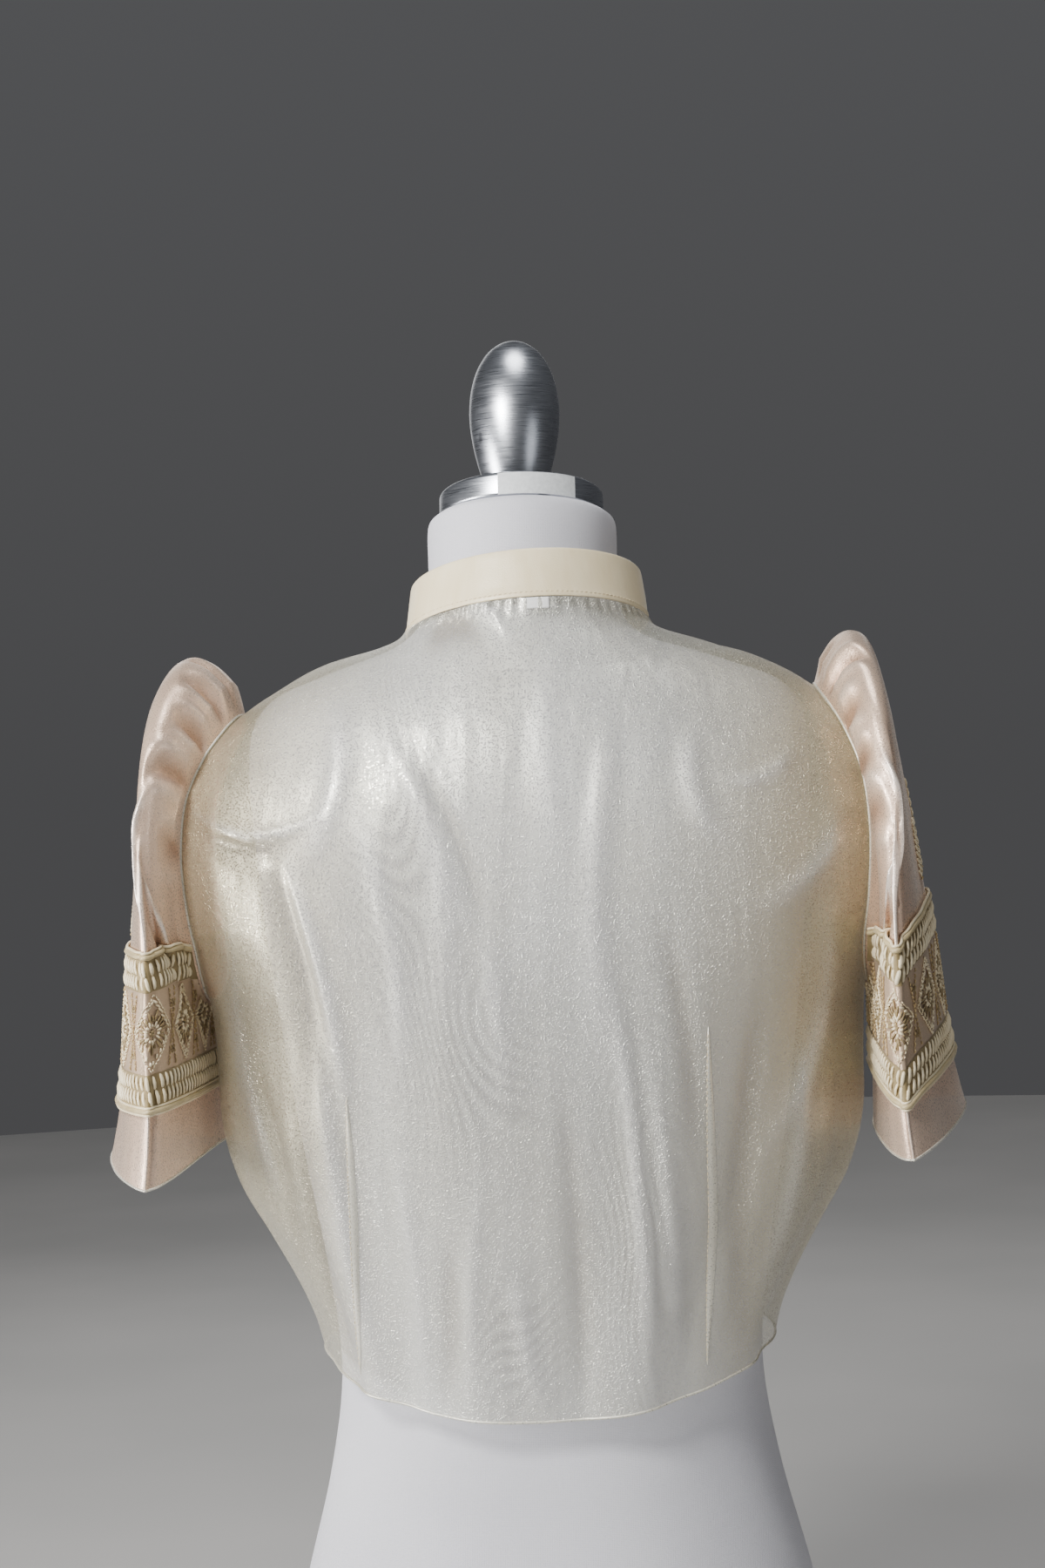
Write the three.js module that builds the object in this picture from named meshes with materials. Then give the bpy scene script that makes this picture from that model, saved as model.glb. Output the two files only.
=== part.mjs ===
// A cropped bolero of sheer organza with a stand collar and butterfly sleeves, on a limbless dress form.
// Millimetres, +Z up. The wearer faces -Y, +X is the wearer's left, and the base plate stands on z = 0.
//
// The form and the cloth are each a stack of rings. A ring is a squared ellipse given by its half width,
// the y of its side, back and front points, and the z of those points, so that it can drop from the
// shoulder ridge to the chest. The sleeves are tubes of rings that turn from the armhole down to the hem.
import * as THREE from "three";

// ---- Driving sizes -------------------------------------------------------------------------------
const CLOTH = 1.0; // wall of the organza
const COLLAR_WALL = 2.0; // folded and stiffened band
const SEAM_GAP = 0.3; // between two pieces at a seam
const COLLAR_HEIGHT = 28;
const COLLAR_LIFT = 7; // the collar rides higher on the wearer's right
const COLLAR_SHIFT = 2; // and sits this far toward it
const SHOULDER_DROP = 5; // the wearer's left shoulder point sits lower
const COLLAR_LEAN = 0.21; // forward lean of neck and collar, as a slope
const COLLAR_TAPER = 0.05; // how much narrower the collar is at its top
const COLLAR_END_GAP = 6; // between the two collar ends at the front
const COLLAR_CORNER = 10; // radius of its front corners
const BUST = { x: 72, z: 512, spreadX: 34, spreadZ: 42, form: 14, cloth: 12 };

const BASE_PLATE = { radius: 150, height: 10, edge: 3 };
const POST = { radius: 14, flange: 45, flangeHeight: 6 };
const TORSO_FLOOR = 95; // height of the torso's flat underside
const NECK_CAP = { radius: 47.5, height: 15, edge: 1.5 };
const FINIAL = { height: 94, aside: 3 };

// ---- Ring tables ---------------------------------------------------------------------------------
// half: half width. ys, yb, yf and zs, zb, zf: y and z of the side, back and front points.
// round: 1 is an ellipse, less is squarer. bend: 1 keeps the ring flat, 2 lets it sag between its points.
const RING_COLUMNS = ["half", "ys", "yb", "yf", "zs", "zb", "zf", "round", "bend"];
const table = (columns, rows) =>
  rows.map((row) => Object.fromEntries(columns.map((name, i) => [name, row[i]])));

const FORM_RINGS = table(RING_COLUMNS, [
  [50.5, -15, 33, -63, 830, 839.7, 820.3, 1, 1], // neck top
  [54.5, -14, 39, -67, 824, 834.5, 813.5, 1, 1],
  [54.5, -9, 46, -64, 797, 811, 783, 1, 1],
  [56.5, -3, 54, -60, 774, 789, 757, 1, 1], // neck base
  [67, 0, 61, -62, 760, 772, 738, 1, 1.1],
  [90, 2, 71.5, -70, 752.5, 746, 712, 0.97, 1.5],
  [120, 4, 83, -81, 742, 718, 683, 0.92, 2],
  [145, 5, 91.5, -91, 731, 690, 654, 0.9, 2],
  [157, 5, 96.5, -101, 714, 662, 624, 0.88, 2], // shoulder end
  [160, 4, 99, -110, 686, 634, 594, 0.87, 2],
  [158, 2, 99, -119, 648, 604, 565, 0.87, 2],
  [155, 0, 96, -126, 606, 572, 536, 0.87, 2],
  [150, -2, 91, -130, 560, 536, 507, 0.88, 2], // underarm
  [144, -4, 86, -126, 512, 496, 472, 0.88, 2],
  [136, -5, 80, -115, 460, 450, 434, 0.88, 2],
  [126, -6, 74, -102, 400, 396, 390, 0.88, 2],
  [121, -6, 73, -93, 345, 345, 345, 0.88, 2], // waist
  [129, -4, 84, -92, 288, 288, 288, 0.88, 2],
  [145, 0, 102, -95, 225, 225, 225, 0.88, 2],
  [158, 2, 113, -99, 165, 165, 165, 0.88, 2], // hip
  [157, 2, 110, -99, 120, 120, 120, 0.88, 2],
  [150, 2, 103, -93, TORSO_FLOOR, TORSO_FLOOR, TORSO_FLOOR, 0.88, 2],
]);

// The outer face of the jacket body, from the neckline to the hem.
const BODY_RINGS = table(RING_COLUMNS, [
  [70, 0, 66, -66, 761.5, 776, 746, 1, 1], // neckline
  [77, 1, 68.5, -68.5, 758.4, 766.5, 735, 1, 1.1],
  [100, 3, 76, -76, 754.5, 750, 716, 0.95, 1.5],
  [124, 4, 85, -85, 748.5, 728, 692, 0.9, 2],
  [147, 5, 92.5, -94, 738, 706, 668, 0.86, 2],
  [164, 5, 98, -102.5, 727, 684, 644, 0.82, 2], // top of the armhole
  [188, 5, 102, -110, 710, 662, 620, 0.77, 2],
  [204, 4, 105, -117.5, 688, 638, 596, 0.73, 2],
  [209, 3, 107, -124.5, 656, 613, 571, 0.71, 2],
  [205.5, 2, 108.5, -131, 622, 587, 546, 0.73, 2],
  [196, 1, 109, -136, 590, 560, 521, 0.76, 2],
  [187, 0, 109, -139, 560, 532, 497, 0.8, 2], // bottom of the armhole
  [184.5, 0, 108.5, -139, 525, 503, 473, 0.83, 2],
  [183, 0, 107.5, -136, 488, 474, 450, 0.84, 2],
  [174, 0, 106, -131, 456, 446, 429, 0.85, 2],
  [158, 0, 104, -125, 428, 418, 410, 0.85, 2],
  [144, 0, 102, -119, 403, 390, 392, 0.85, 2],
  [134, 0, 100, -114, 381, 362, 376, 0.85, 2],
  [128.5, 0, 98, -110, 361, 334, 362, 0.85, 2], // hem
]);
// Rows and half angles in radians, and how far off the body the sleeve's edge stands.
const ARMHOLE = { top: 5, bottom: 11, back: 0.51, front: 0.41, gap: 1.3 };
const HEM_ROW = BODY_RINGS.length - 1;

// Soft folds of the body, each a ridge (height > 0) or trough along the rows from its top to the hem.
// angle: degrees round the body from the wearer's left, at the top and at the hem. width: degrees.
const FOLDS = table(["topRow", "topAngle", "hemAngle", "width", "height"], [
  [7, 57, 48, 5.5, 4.0],
  [9, 70, 60, 6, -3.0],
  [6, 88, 80, 7, 2.6],
  [10, 101, 97, 5, -2.4],
  [8, 113, 110, 6.5, 3.2],
  [11, 126, 123, 5, -2.2],
  [10, 142, 150, 8, 2.4],
  [9, 24, 22, 8, -2.2],
  [8, 158, 160, 7, -2.4],
  [8, 222, 226, 9, -3.0],
  [7, 244, 250, 7, 3.2],
  [8, 318, 314, 9, -3.0],
  [7, 296, 290, 7, 3.2],
]);

// Sleeve rings: the outermost point (out, outZ) and innermost point (inn, innZ) of each, its half depth
// front to back, how sharply it closes at its front and back creases (pinch), how far those creases stand
// out from the middle (bulge) and how far they hang below it (sag). Row 0 of a sleeve is its armhole edge,
// and the first ring here is its row 1.
const SLEEVE_COLUMNS = ["out", "outZ", "inn", "innZ", "depth", "pinch", "bulge", "sag"];
const SLEEVE_RINGS = table(SLEEVE_COLUMNS, [
  [169, 742, 189.8, 556.5, 75, 1, 12.5, 0],
  [178, 752.5, 190.6, 552.5, 86, 1, 10, 0],
  [188.5, 757, 191, 549, 93, 1, 9, 0], // ridge
  [198, 751, 191, 547.5, 96, 1.05, 9, 0],
  [205, 728.5, 191, 546.5, 97, 1.1, 6, 0],
  [210.5, 698, 191, 545.5, 98, 1.15, 2.5, 0],
  [216.5, 658, 191, 544, 99, 1.2, -2, 0],
  [222, 618, 191, 541, 100, 1.3, -5, 1],
  [227, 578, 190.8, 532, 101, 1.4, -7, 2],
  [232, 532, 190.5, 512, 102, 1.4, -9, 5],
  [237.5, 502, 190, 492, 103, 1.4, -10, 8],
  [242.5, 480, 189.5, 476, 104, 1.4, -10, 11], // hem
]);
const SLEEVE_HEM = SLEEVE_RINGS.length;
// Rows of the sleeve's mesh, closer together under its band.
const SLEEVE_ROWS = [0, 1, 2, 3, 4, 5, 6, 6.6, 7.2, 7.8, 8.5, 9.2, 9.9, 10.6, 11.3, SLEEVE_HEM];
const SLEEVE_CENTRE_Y = 3;
const SLEEVE_FRONT_BULGE = 7; // more bulge at the front, where the sleeve passes over the front panel
const SLEEVE_TILT = 3; // both sleeves lean this far toward the wearer's left
const OUTER_RISE = { left: -3, right: 10 }; // how much higher the outer face of each sleeve hangs

// Tucks sewn into the armhole seam: angle round the sleeve from its top, degrees, and depth inward.
const TUCKS = table(["angle", "width", "depth"], [
  [12, 6, 2],
  [32, 7, 4.5],
  [53, 7, 5],
  [72, 6.5, 4.5],
]);

// Embroidered band: its edges' heights, the highest sleeve row that it may reach, and its relief.
const BAND = { bottom: 509, top: 598, sag: 6, highestRow: 6.6, gap: 0.5, wall: 1.0, cord: 1.6 };

// Step counts of the meshes.
const STEPS = {
  form: { round: 32, rows: 2 },
  back: { across: 26 },
  front: { across: 11 },
  rowsAboveArmhole: 6,
  rowsAtArmhole: 10,
  rowsBelowArmhole: 8,
  collar: 36,
};

// ---- Small mathematics ---------------------------------------------------------------------------
const TURN = Math.PI * 2;
const rad = THREE.MathUtils.degToRad;
const { lerp, clamp, smoothstep } = THREE.MathUtils;
const signedPower = (value, power) => Math.sign(value) * Math.abs(value) ** power;

// One column of a table at a row that need not be whole, on a smooth curve through its values.
function along(rows, name, at) {
  const last = rows.length - 1;
  const place = clamp(at, 0, last);
  const i = Math.min(Math.floor(place), last - 1);
  const t = place - i;
  const value = (k) => rows[clamp(k, 0, last)][name];
  const slope = (k) => (k <= 0 || k >= last ? (value(k + 1) - value(k - 1)) : (value(k + 1) - value(k - 1)) / 2);
  const [a, b] = [value(i), value(i + 1)];
  const [sa, sb] = [slope(i), slope(i + 1)];
  return (
    a * (2 * t ** 3 - 3 * t ** 2 + 1) + sa * (t ** 3 - 2 * t ** 2 + t) + b * (3 * t ** 2 - 2 * t ** 3) + sb * (t ** 3 - t ** 2)
  );
}

// A point of a ring stack: angle 0 is the wearer's left, a quarter turn is the back.
function ringPoint(rings, angle, row, bust) {
  const r = (name) => along(rings, name, row);
  const c = Math.cos(angle);
  const s = Math.sin(angle);
  const behind = s >= 0;
  const x = r("half") * signedPower(c, r("round"));
  const sag = Math.abs(s) ** r("bend");
  const z = r("zs") + (behind ? r("zb") - r("zs") : r("zf") - r("zs")) * sag;
  let y = r("ys") + (behind ? r("yb") - r("ys") : r("ys") - r("yf")) * signedPower(s, r("round"));
  if (!behind) {
    const across = (Math.abs(x) - BUST.x) / BUST.spreadX;
    const up = (z - BUST.z) / BUST.spreadZ;
    y -= bust * Math.exp(-(across ** 2 + up ** 2) / 2) * Math.abs(s);
  }
  return new THREE.Vector3(x, y, z);
}

// The sum of the soft folds at an angle and row, in millimetres outward.
function foldHeight(angle, row) {
  const degrees = (((angle * 180) / Math.PI) % 360 + 360) % 360;
  let height = 0;
  for (const fold of FOLDS) {
    const down = clamp((row - fold.topRow) / (HEM_ROW - fold.topRow), 0, 1);
    const centre = lerp(fold.topAngle, fold.hemAngle, down);
    const aside = (degrees - centre) / fold.width;
    height += fold.height * smoothstep(down, 0, 0.55) * Math.exp(-(aside ** 2));
  }
  return height;
}

function bodyPoint(angle, row) {
  const p = ringPoint(BODY_RINGS, angle, row, BUST.cloth);
  const nearNeck = clamp(1 - row / 2.5, 0, 1);
  p.z += COLLAR_LIFT * nearNeck * (1 - p.x / BODY_RINGS[0].half) * 0.5;
  p.z -= SHOULDER_DROP * smoothstep(p.x, 95, 150) * (1 - smoothstep(row, 5.5, 8.5));
  p.x -= COLLAR_SHIFT * nearNeck;
  const outward = new THREE.Vector3(Math.cos(angle), Math.sin(angle), 0);
  return p.addScaledVector(outward, foldHeight(angle, row));
}

const STEP = 1e-3;
// The unit normal of a surface given by point(u, v), on the side that du x dv points to, times side.
function normalOf(point, u, v, side) {
  const du = point(u + STEP, v).sub(point(u - STEP, v));
  const dv = point(u, v + STEP).sub(point(u, v - STEP));
  return du.cross(dv).normalize().multiplyScalar(side);
}

// ---- Solids from grids ---------------------------------------------------------------------------
// Triangles over a grid of points indexed by row and column, wrapping round if the rows are closed.
function gridFaces(rows, columns, closed, indexOf) {
  const faces = [];
  const spans = closed ? columns : columns - 1;
  for (let j = 0; j < rows - 1; j++) {
    for (let i = 0; i < spans; i++) {
      const k = (i + 1) % columns;
      faces.push([indexOf(j, i), indexOf(j, k), indexOf(j + 1, k)]);
      faces.push([indexOf(j, i), indexOf(j + 1, k), indexOf(j + 1, i)]);
    }
  }
  return faces;
}

function solidFrom(points, faces) {
  const geometry = new THREE.BufferGeometry();
  const positions = points.flatMap((p) => [p.x, p.y, p.z]);
  geometry.setAttribute("position", new THREE.Float32BufferAttribute(positions, 3));
  const volume = faces.reduce((sum, [a, b, c]) => {
    return sum + points[a].dot(new THREE.Vector3().crossVectors(points[b], points[c]));
  }, 0);
  geometry.setIndex((volume < 0 ? faces.map(([a, b, c]) => [a, c, b]) : faces).flat());
  geometry.computeVertexNormals();
  return geometry;
}

// A wall between an outer and an inner grid of points, each an array of rows.
function wallSolid(outer, inner, closed) {
  const rows = outer.length;
  const columns = outer[0].length;
  const offset = rows * columns;
  const points = [...outer.flat(), ...inner.flat()];
  const out = (j, i) => j * columns + i;
  const inn = (j, i) => offset + j * columns + i;
  const faces = gridFaces(rows, columns, closed, out);
  faces.push(...gridFaces(rows, columns, closed, inn).map(([a, b, c]) => [a, c, b]));
  const spans = closed ? columns : columns - 1;
  for (let i = 0; i < spans; i++) {
    const k = (i + 1) % columns;
    const last = rows - 1;
    faces.push([out(0, k), out(0, i), inn(0, i)], [out(0, k), inn(0, i), inn(0, k)]);
    faces.push([out(last, i), out(last, k), inn(last, k)], [out(last, i), inn(last, k), inn(last, i)]);
  }
  if (!closed) {
    const last = columns - 1;
    for (let j = 0; j < rows - 1; j++) {
      faces.push([out(j, 0), out(j + 1, 0), inn(j + 1, 0)], [out(j, 0), inn(j + 1, 0), inn(j, 0)]);
      faces.push(
        [out(j + 1, last), out(j, last), inn(j, last)],
        [out(j + 1, last), inn(j, last), inn(j + 1, last)],
      );
    }
  }
  return solidFrom(points, faces);
}

// A closed body of stacked rings with flat ends.
function stackSolid(rings) {
  const columns = rings[0].length;
  const points = rings.flat();
  const faces = gridFaces(rings.length, columns, true, (j, i) => j * columns + i);
  const centre = (ring) => ring.reduce((sum, p) => sum.add(p), new THREE.Vector3()).divideScalar(columns);
  const [top, bottom] = [points.length, points.length + 1];
  points.push(centre(rings[0]), centre(rings.at(-1)));
  const base = (rings.length - 1) * columns;
  for (let i = 0; i < columns; i++) {
    const k = (i + 1) % columns;
    faces.push([top, k, i], [bottom, base + i, base + k]);
  }
  return solidFrom(points, faces);
}

const steps = (count) => Array.from({ length: count + 1 }, (_, i) => i / count);

// A cloth wall over point(u, v): its inner face is at lift - wall and its outer one at lift + relief.
function clothSolid({ point, us, vs, side, closed = false, wall = CLOTH, lift = () => 0, relief = () => 0 }) {
  const grid = (distance) =>
    vs.map((v) => us.map((u) => point(u, v).addScaledVector(normalOf(point, u, v, side), distance(u, v))));
  return wallSolid(grid((u, v) => lift(u, v) + relief(u, v)), grid((u, v) => lift(u, v) - wall), closed);
}

// ---- Materials -----------------------------------------------------------------------------------
const finish = (color, roughness, metalness) =>
  new THREE.MeshStandardMaterial({ color, roughness, metalness, side: THREE.DoubleSide });
const materials = {
  organza: finish(0xe9e5d6, 0.45, 0),
  sleeve: finish(0xead3c4, 0.42, 0),
  satin: finish(0xe8dcbf, 0.35, 0),
  embroidery: finish(0xd9c79d, 0.5, 0),
  label: finish(0xf4f2ee, 0.6, 0),
  jersey: finish(0xe4e3e4, 0.85, 0),
  metal: finish(0xa9abb0, 0.35, 1),
  stand: finish(0x8f9196, 0.4, 1),
};

const root = new THREE.Group();
function add(name, geometry, material, parent = root) {
  const mesh = new THREE.Mesh(geometry, material);
  mesh.name = name;
  parent.add(mesh);
  return mesh;
}

// ---- Jacket body ---------------------------------------------------------------------------------
// Rows of a panel, closer together where the armhole starts and ends.
function panelRows() {
  const { top, bottom } = ARMHOLE;
  const above = steps(STEPS.rowsAboveArmhole).map((t) => top * t);
  const at = steps(STEPS.rowsAtArmhole).map((t) => lerp(top, bottom, (1 - Math.cos(Math.PI * t)) / 2));
  const below = steps(STEPS.rowsBelowArmhole).map((t) => lerp(bottom, HEM_ROW, t));
  return [...above, ...at.slice(1), ...below.slice(1)];
}

// The angle from the side line at which a panel starts: the seam, or the edge of the armhole.
function sideEdge(row, armholeAngle) {
  const { top, bottom } = ARMHOLE;
  const across = clamp((2 * row - top - bottom) / (bottom - top), -1, 1);
  const seam = (SEAM_GAP / 2 / along(BODY_RINGS, "yb", row)) ** (1 / along(BODY_RINGS, "round", row));
  return Math.max(seam, armholeAngle * Math.sqrt(1 - across ** 2));
}

// How far a front edge stands from the middle, opening below the collar.
function frontOpening(row) {
  return COLLAR_END_GAP / 2 + 46 * smoothstep(row, 0, HEM_ROW * 0.85);
}

function addBack() {
  const point = (u, row) => {
    const edge = sideEdge(row, ARMHOLE.back);
    return bodyPoint(lerp(edge, Math.PI - edge, u), row);
  };
  const us = steps(STEPS.back.across);
  const geometry = clothSolid({ point, us, vs: panelRows(), side: -1 });
  add("back", geometry, materials.organza);
}

// A front panel runs from the side line to its front edge, whose lower corner is rounded off.
function addFront(name, side) {
  const point = (u, v) => {
    const corner = smoothstep(u, 0.55, 1) ** 2;
    const row = v * (1 - (0.16 * corner * v) / HEM_ROW);
    const edge = sideEdge(row, ARMHOLE.front);
    const open = Math.acos((frontOpening(row) / along(BODY_RINGS, "half", row)) ** (1 / along(BODY_RINGS, "round", row)));
    const angle = -lerp(edge, open, u);
    return bodyPoint(side > 0 ? angle : Math.PI - angle, row);
  };
  const us = steps(STEPS.front.across);
  add(name, clothSolid({ point, us, vs: panelRows(), side }), materials.organza);
}

// ---- Collar --------------------------------------------------------------------------------------
function collarPoint(angle, up) {
  const foot = bodyPoint(angle, 0);
  const narrow = 1 - (COLLAR_TAPER * up) / COLLAR_HEIGHT;
  const rise = (up + SEAM_GAP) / Math.hypot(1, COLLAR_LEAN);
  return new THREE.Vector3(foot.x * narrow, foot.y * narrow - rise * COLLAR_LEAN, foot.z + rise);
}

function addCollar() {
  const half = BODY_RINGS[0].half;
  const endAngle = Math.asin(COLLAR_END_GAP / 2 / half);
  const start = -Math.PI / 2 + endAngle;
  const sweep = TURN - 2 * endAngle;
  // Full height, but for a rounded corner at each end.
  const heightAt = (u) => {
    const fromEnd = Math.min(u, 1 - u) * sweep * half;
    const inCorner = Math.max(0, COLLAR_CORNER - fromEnd);
    return COLLAR_HEIGHT - COLLAR_CORNER + Math.sqrt(COLLAR_CORNER ** 2 - inCorner ** 2);
  };
  const point = (u, w) => collarPoint(start + sweep * u, w * heightAt(clamp(u, 0, 1)));
  const cornerSteps = [0, 0.002, 0.008, 0.016, 0.023];
  const middle = steps(STEPS.collar).map((t) => lerp(0.035, 0.965, t));
  const us = [...cornerSteps, ...middle, ...cornerSteps.map((t) => 1 - t).reverse()];
  const geometry = clothSolid({ point, us, vs: [0, 0.15, 1], side: 1, wall: COLLAR_WALL });
  add("collar", geometry, materials.satin);
}

function addLabel() {
  const point = (angle, row) => bodyPoint(angle, row);
  const us = [rad(93), rad(97), rad(101), rad(105)];
  const geometry = clothSolid({
    point,
    us,
    vs: [0.02, 0.3, 0.62],
    side: -1,
    wall: 0.6,
    lift: () => -CLOTH - SEAM_GAP,
  });
  add("neck_label", geometry, materials.label);
}

// ---- Sleeves -------------------------------------------------------------------------------------
// The armhole seam at an angle round the sleeve: 0 is the shoulder, a quarter turn is the back.
function armholePoint(angle, side) {
  const row = (ARMHOLE.top + ARMHOLE.bottom) / 2 - ((ARMHOLE.bottom - ARMHOLE.top) / 2) * Math.cos(angle);
  const s = Math.sin(angle);
  const aside = (s >= 0 ? ARMHOLE.back : ARMHOLE.front) * s;
  const body = (u, v) => bodyPoint(side > 0 ? u : Math.PI - u, v);
  const normal = normalOf(body, aside, row, -side);
  return body(aside, row).addScaledVector(normal, ARMHOLE.gap);
}

function tuckDepth(angle) {
  const degrees = Math.abs((((angle * 180) / Math.PI + 540) % 360) - 180);
  return TUCKS.reduce((sum, tuck) => {
    const aside = (degrees - tuck.angle) / tuck.width;
    return sum + tuck.depth * Math.exp(-2 * aside ** 2);
  }, 0);
}

// The rise of the outer face, fading to nothing on the inner one.
const outerRise = (c, side) => (side > 0 ? OUTER_RISE.left : OUTER_RISE.right) * (0.5 + 0.5 * c);

// A point of the left (side 1) or right (side -1) sleeve: row 0 is the armhole seam.
function sleevePoint(angle, row, side) {
  const r = (name) => along(SLEEVE_RINGS, name, Math.max(row, 1) - 1);
  const c = signedPower(Math.cos(angle), r("pinch"));
  const s = Math.sin(angle);
  const bulge = r("bulge") + (s < 0 ? SLEEVE_FRONT_BULGE * (1 - smoothstep(row, 1, 3)) : 0);
  const ring = new THREE.Vector3(
    side * ((r("out") + r("inn")) / 2 + ((r("out") - r("inn")) / 2) * c + bulge * s ** 2),
    SLEEVE_CENTRE_Y + r("depth") * s,
    (r("outZ") + r("innZ")) / 2 + ((r("outZ") - r("innZ")) / 2) * c,
  );
  ring.x += SLEEVE_TILT * (0.5 + 0.5 * c) * smoothstep(row, 0, 3);
  ring.z += outerRise(c, side) * smoothstep(row, 5, 9) - r("sag") * s ** 2;
  const atSeam = 1 - clamp(row, 0, 1);
  return atSeam > 0 ? ring.lerp(armholePoint(angle, side), atSeam) : ring;
}

// The tucked surface: the tucks are deepest between the seam and the ridge.
function tuckedSleevePoint(angle, row, side) {
  const p = sleevePoint(angle, row, side);
  const depth = tuckDepth(angle) * Math.sin(Math.PI * clamp(row / 3.2, 0, 1)) ** 1.5;
  if (depth < 0.01) return p;
  const centre = new THREE.Vector3(side * 190, SLEEVE_CENTRE_Y, 650);
  return p.addScaledVector(centre.sub(p).normalize(), depth);
}

// Angles round a sleeve, closer together where the tucks are.
function sleeveAngles() {
  const half = [...steps(18).map((t) => 99 * t), 108, 118, 129, 141, 156, 180].map(rad);
  return [...half, ...half.slice(1, -1).map((angle) => TURN - angle).reverse()];
}

function addSleeve(name, side) {
  const point = (angle, row) => tuckedSleevePoint(angle, row, side);
  const us = sleeveAngles();
  const wall = { wall: 0, relief: () => CLOTH };
  add(name, clothSolid({ point, us, vs: SLEEVE_ROWS, side: -side, closed: true, ...wall }), materials.sleeve);
}

// A point on the sleeve's own facets at a row that need not be whole.
function onSleeve(angle, row, side) {
  const j = SLEEVE_ROWS.findLastIndex((r) => r <= Math.min(row, SLEEVE_HEM - 0.01));
  const [above, below] = SLEEVE_ROWS.slice(j, j + 2);
  const t = (row - above) / (below - above);
  return sleevePoint(angle, above, side).lerp(sleevePoint(angle, below, side), t);
}

// The sleeve row at which the sleeve passes a height, below its ridge.
function rowAtHeight(angle, z, side) {
  let [low, high] = [4, SLEEVE_HEM];
  for (let i = 0; i < 24; i++) {
    const middle = (low + high) / 2;
    if (onSleeve(angle, middle, side).z > z) low = middle;
    else high = middle;
  }
  return (low + high) / 2;
}

function addBand(name, side) {
  // Under the arm the top edge drops to where the sleeve turns in to its armhole.
  const shift = (angle) => outerRise(Math.cos(angle), side) - BAND.sag * Math.sin(angle) ** 2;
  const topAt = (angle) => Math.min(BAND.top + shift(angle), onSleeve(angle, BAND.highestRow, side).z);
  const point = (angle, w) => {
    const z = lerp(topAt(angle), BAND.bottom + shift(angle), w);
    return onSleeve(angle, rowAtHeight(angle, z, side), side);
  };
  // A corded edge above and below a thinner embroidered field.
  const relief = (u, w) => (Math.abs(w - 0.5) > 0.44 && Math.abs(w - 0.5) < 0.49 ? BAND.cord : BAND.wall);
  const geometry = clothSolid({
    point,
    us: sleeveAngles(),
    vs: [0, 0.03, 0.08, 0.5, 0.92, 0.97, 1],
    side: -side,
    closed: true,
    wall: 0,
    lift: () => CLOTH + BAND.gap,
    relief,
  });
  add(name, geometry, materials.embroidery);
}

// ---- Dress form and stand ------------------------------------------------------------------------
function addForm() {
  const { round, rows } = STEPS.form;
  const last = FORM_RINGS.length - 1;
  const rings = steps(last * rows)
    .filter((_, i) => i <= 9 * rows || i % rows === 0)
    .map((t) => steps(round).slice(0, -1).map((a) => ringPoint(FORM_RINGS, a * TURN, t * last, BUST.form)));
  add("form_torso", stackSolid(rings), materials.jersey);
}

// A turned piece: its profile is pairs of radius and height, and it stands along its own z.
function turned(profile, segments) {
  const geometry = new THREE.LatheGeometry(profile.map(([r, h]) => new THREE.Vector2(r, h)), segments);
  return geometry.rotateX(Math.PI / 2);
}

function addNeckPieces() {
  const neckTop = FORM_RINGS[0];
  const group = new THREE.Group();
  group.position.set(0, neckTop.ys, neckTop.zs);
  group.rotation.x = Math.atan((neckTop.zb - neckTop.zs) / (neckTop.yb - neckTop.ys));
  root.add(group);
  const { radius, height, edge } = NECK_CAP;
  const foot = SEAM_GAP;
  const capProfile = [[0, foot], [radius - edge, foot], [radius, foot + edge], [radius, foot + height - edge],
    [radius - edge, foot + height], [0, foot + height]];
  add("neck_cap", turned(capProfile, 32), materials.metal, group);
  // An egg whose waist narrows to a short stem.
  const base = foot + height + SEAM_GAP;
  const egg = [[0, 0], [14.5, 0], [17, 4], [20.7, 14], [24, 27], [26, 40], [26.5, 51], [25.3, 64], [21.8, 76],
    [15.8, 86], [8.2, 92], [0, FINIAL.height]];
  const finial = add("finial", turned(egg.map(([r, h]) => [r, base + h]), 28), materials.metal, group);
  finial.position.x = FINIAL.aside;
}

function addStand() {
  const { radius, height, edge } = BASE_PLATE;
  const plate = [[0, 0], [radius, 0], [radius, height - edge], [radius - edge, height], [0, height]];
  add("base_plate", turned(plate, 48), materials.stand);
  const foot = height + SEAM_GAP;
  const top = TORSO_FLOOR - SEAM_GAP;
  const post = [[0, foot], [POST.radius * 2, foot], [POST.radius * 2, foot + 4], [POST.radius, foot + 8],
    [POST.radius, top - POST.flangeHeight], [POST.flange, top - POST.flangeHeight], [POST.flange, top], [0, top]];
  add("post", turned(post, 20), materials.stand);
}

addForm();
addNeckPieces();
addStand();
addBack();
addFront("front_left", 1);
addFront("front_right", -1);
addCollar();
addLabel();
for (const [name, side] of [["left", 1], ["right", -1]]) {
  addSleeve(`sleeve_${name}`, side);
  addBand(`band_${name}`, side);
}

export default root;
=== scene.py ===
# A cropped bolero of sheer organza on a limbless dress form: the looks, the light and the camera.
# Lengths are millimetres until a mesh is made, and MM turns them into Blender's metres.
import math

import bpy
import numpy as np
from mathutils import Matrix


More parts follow.
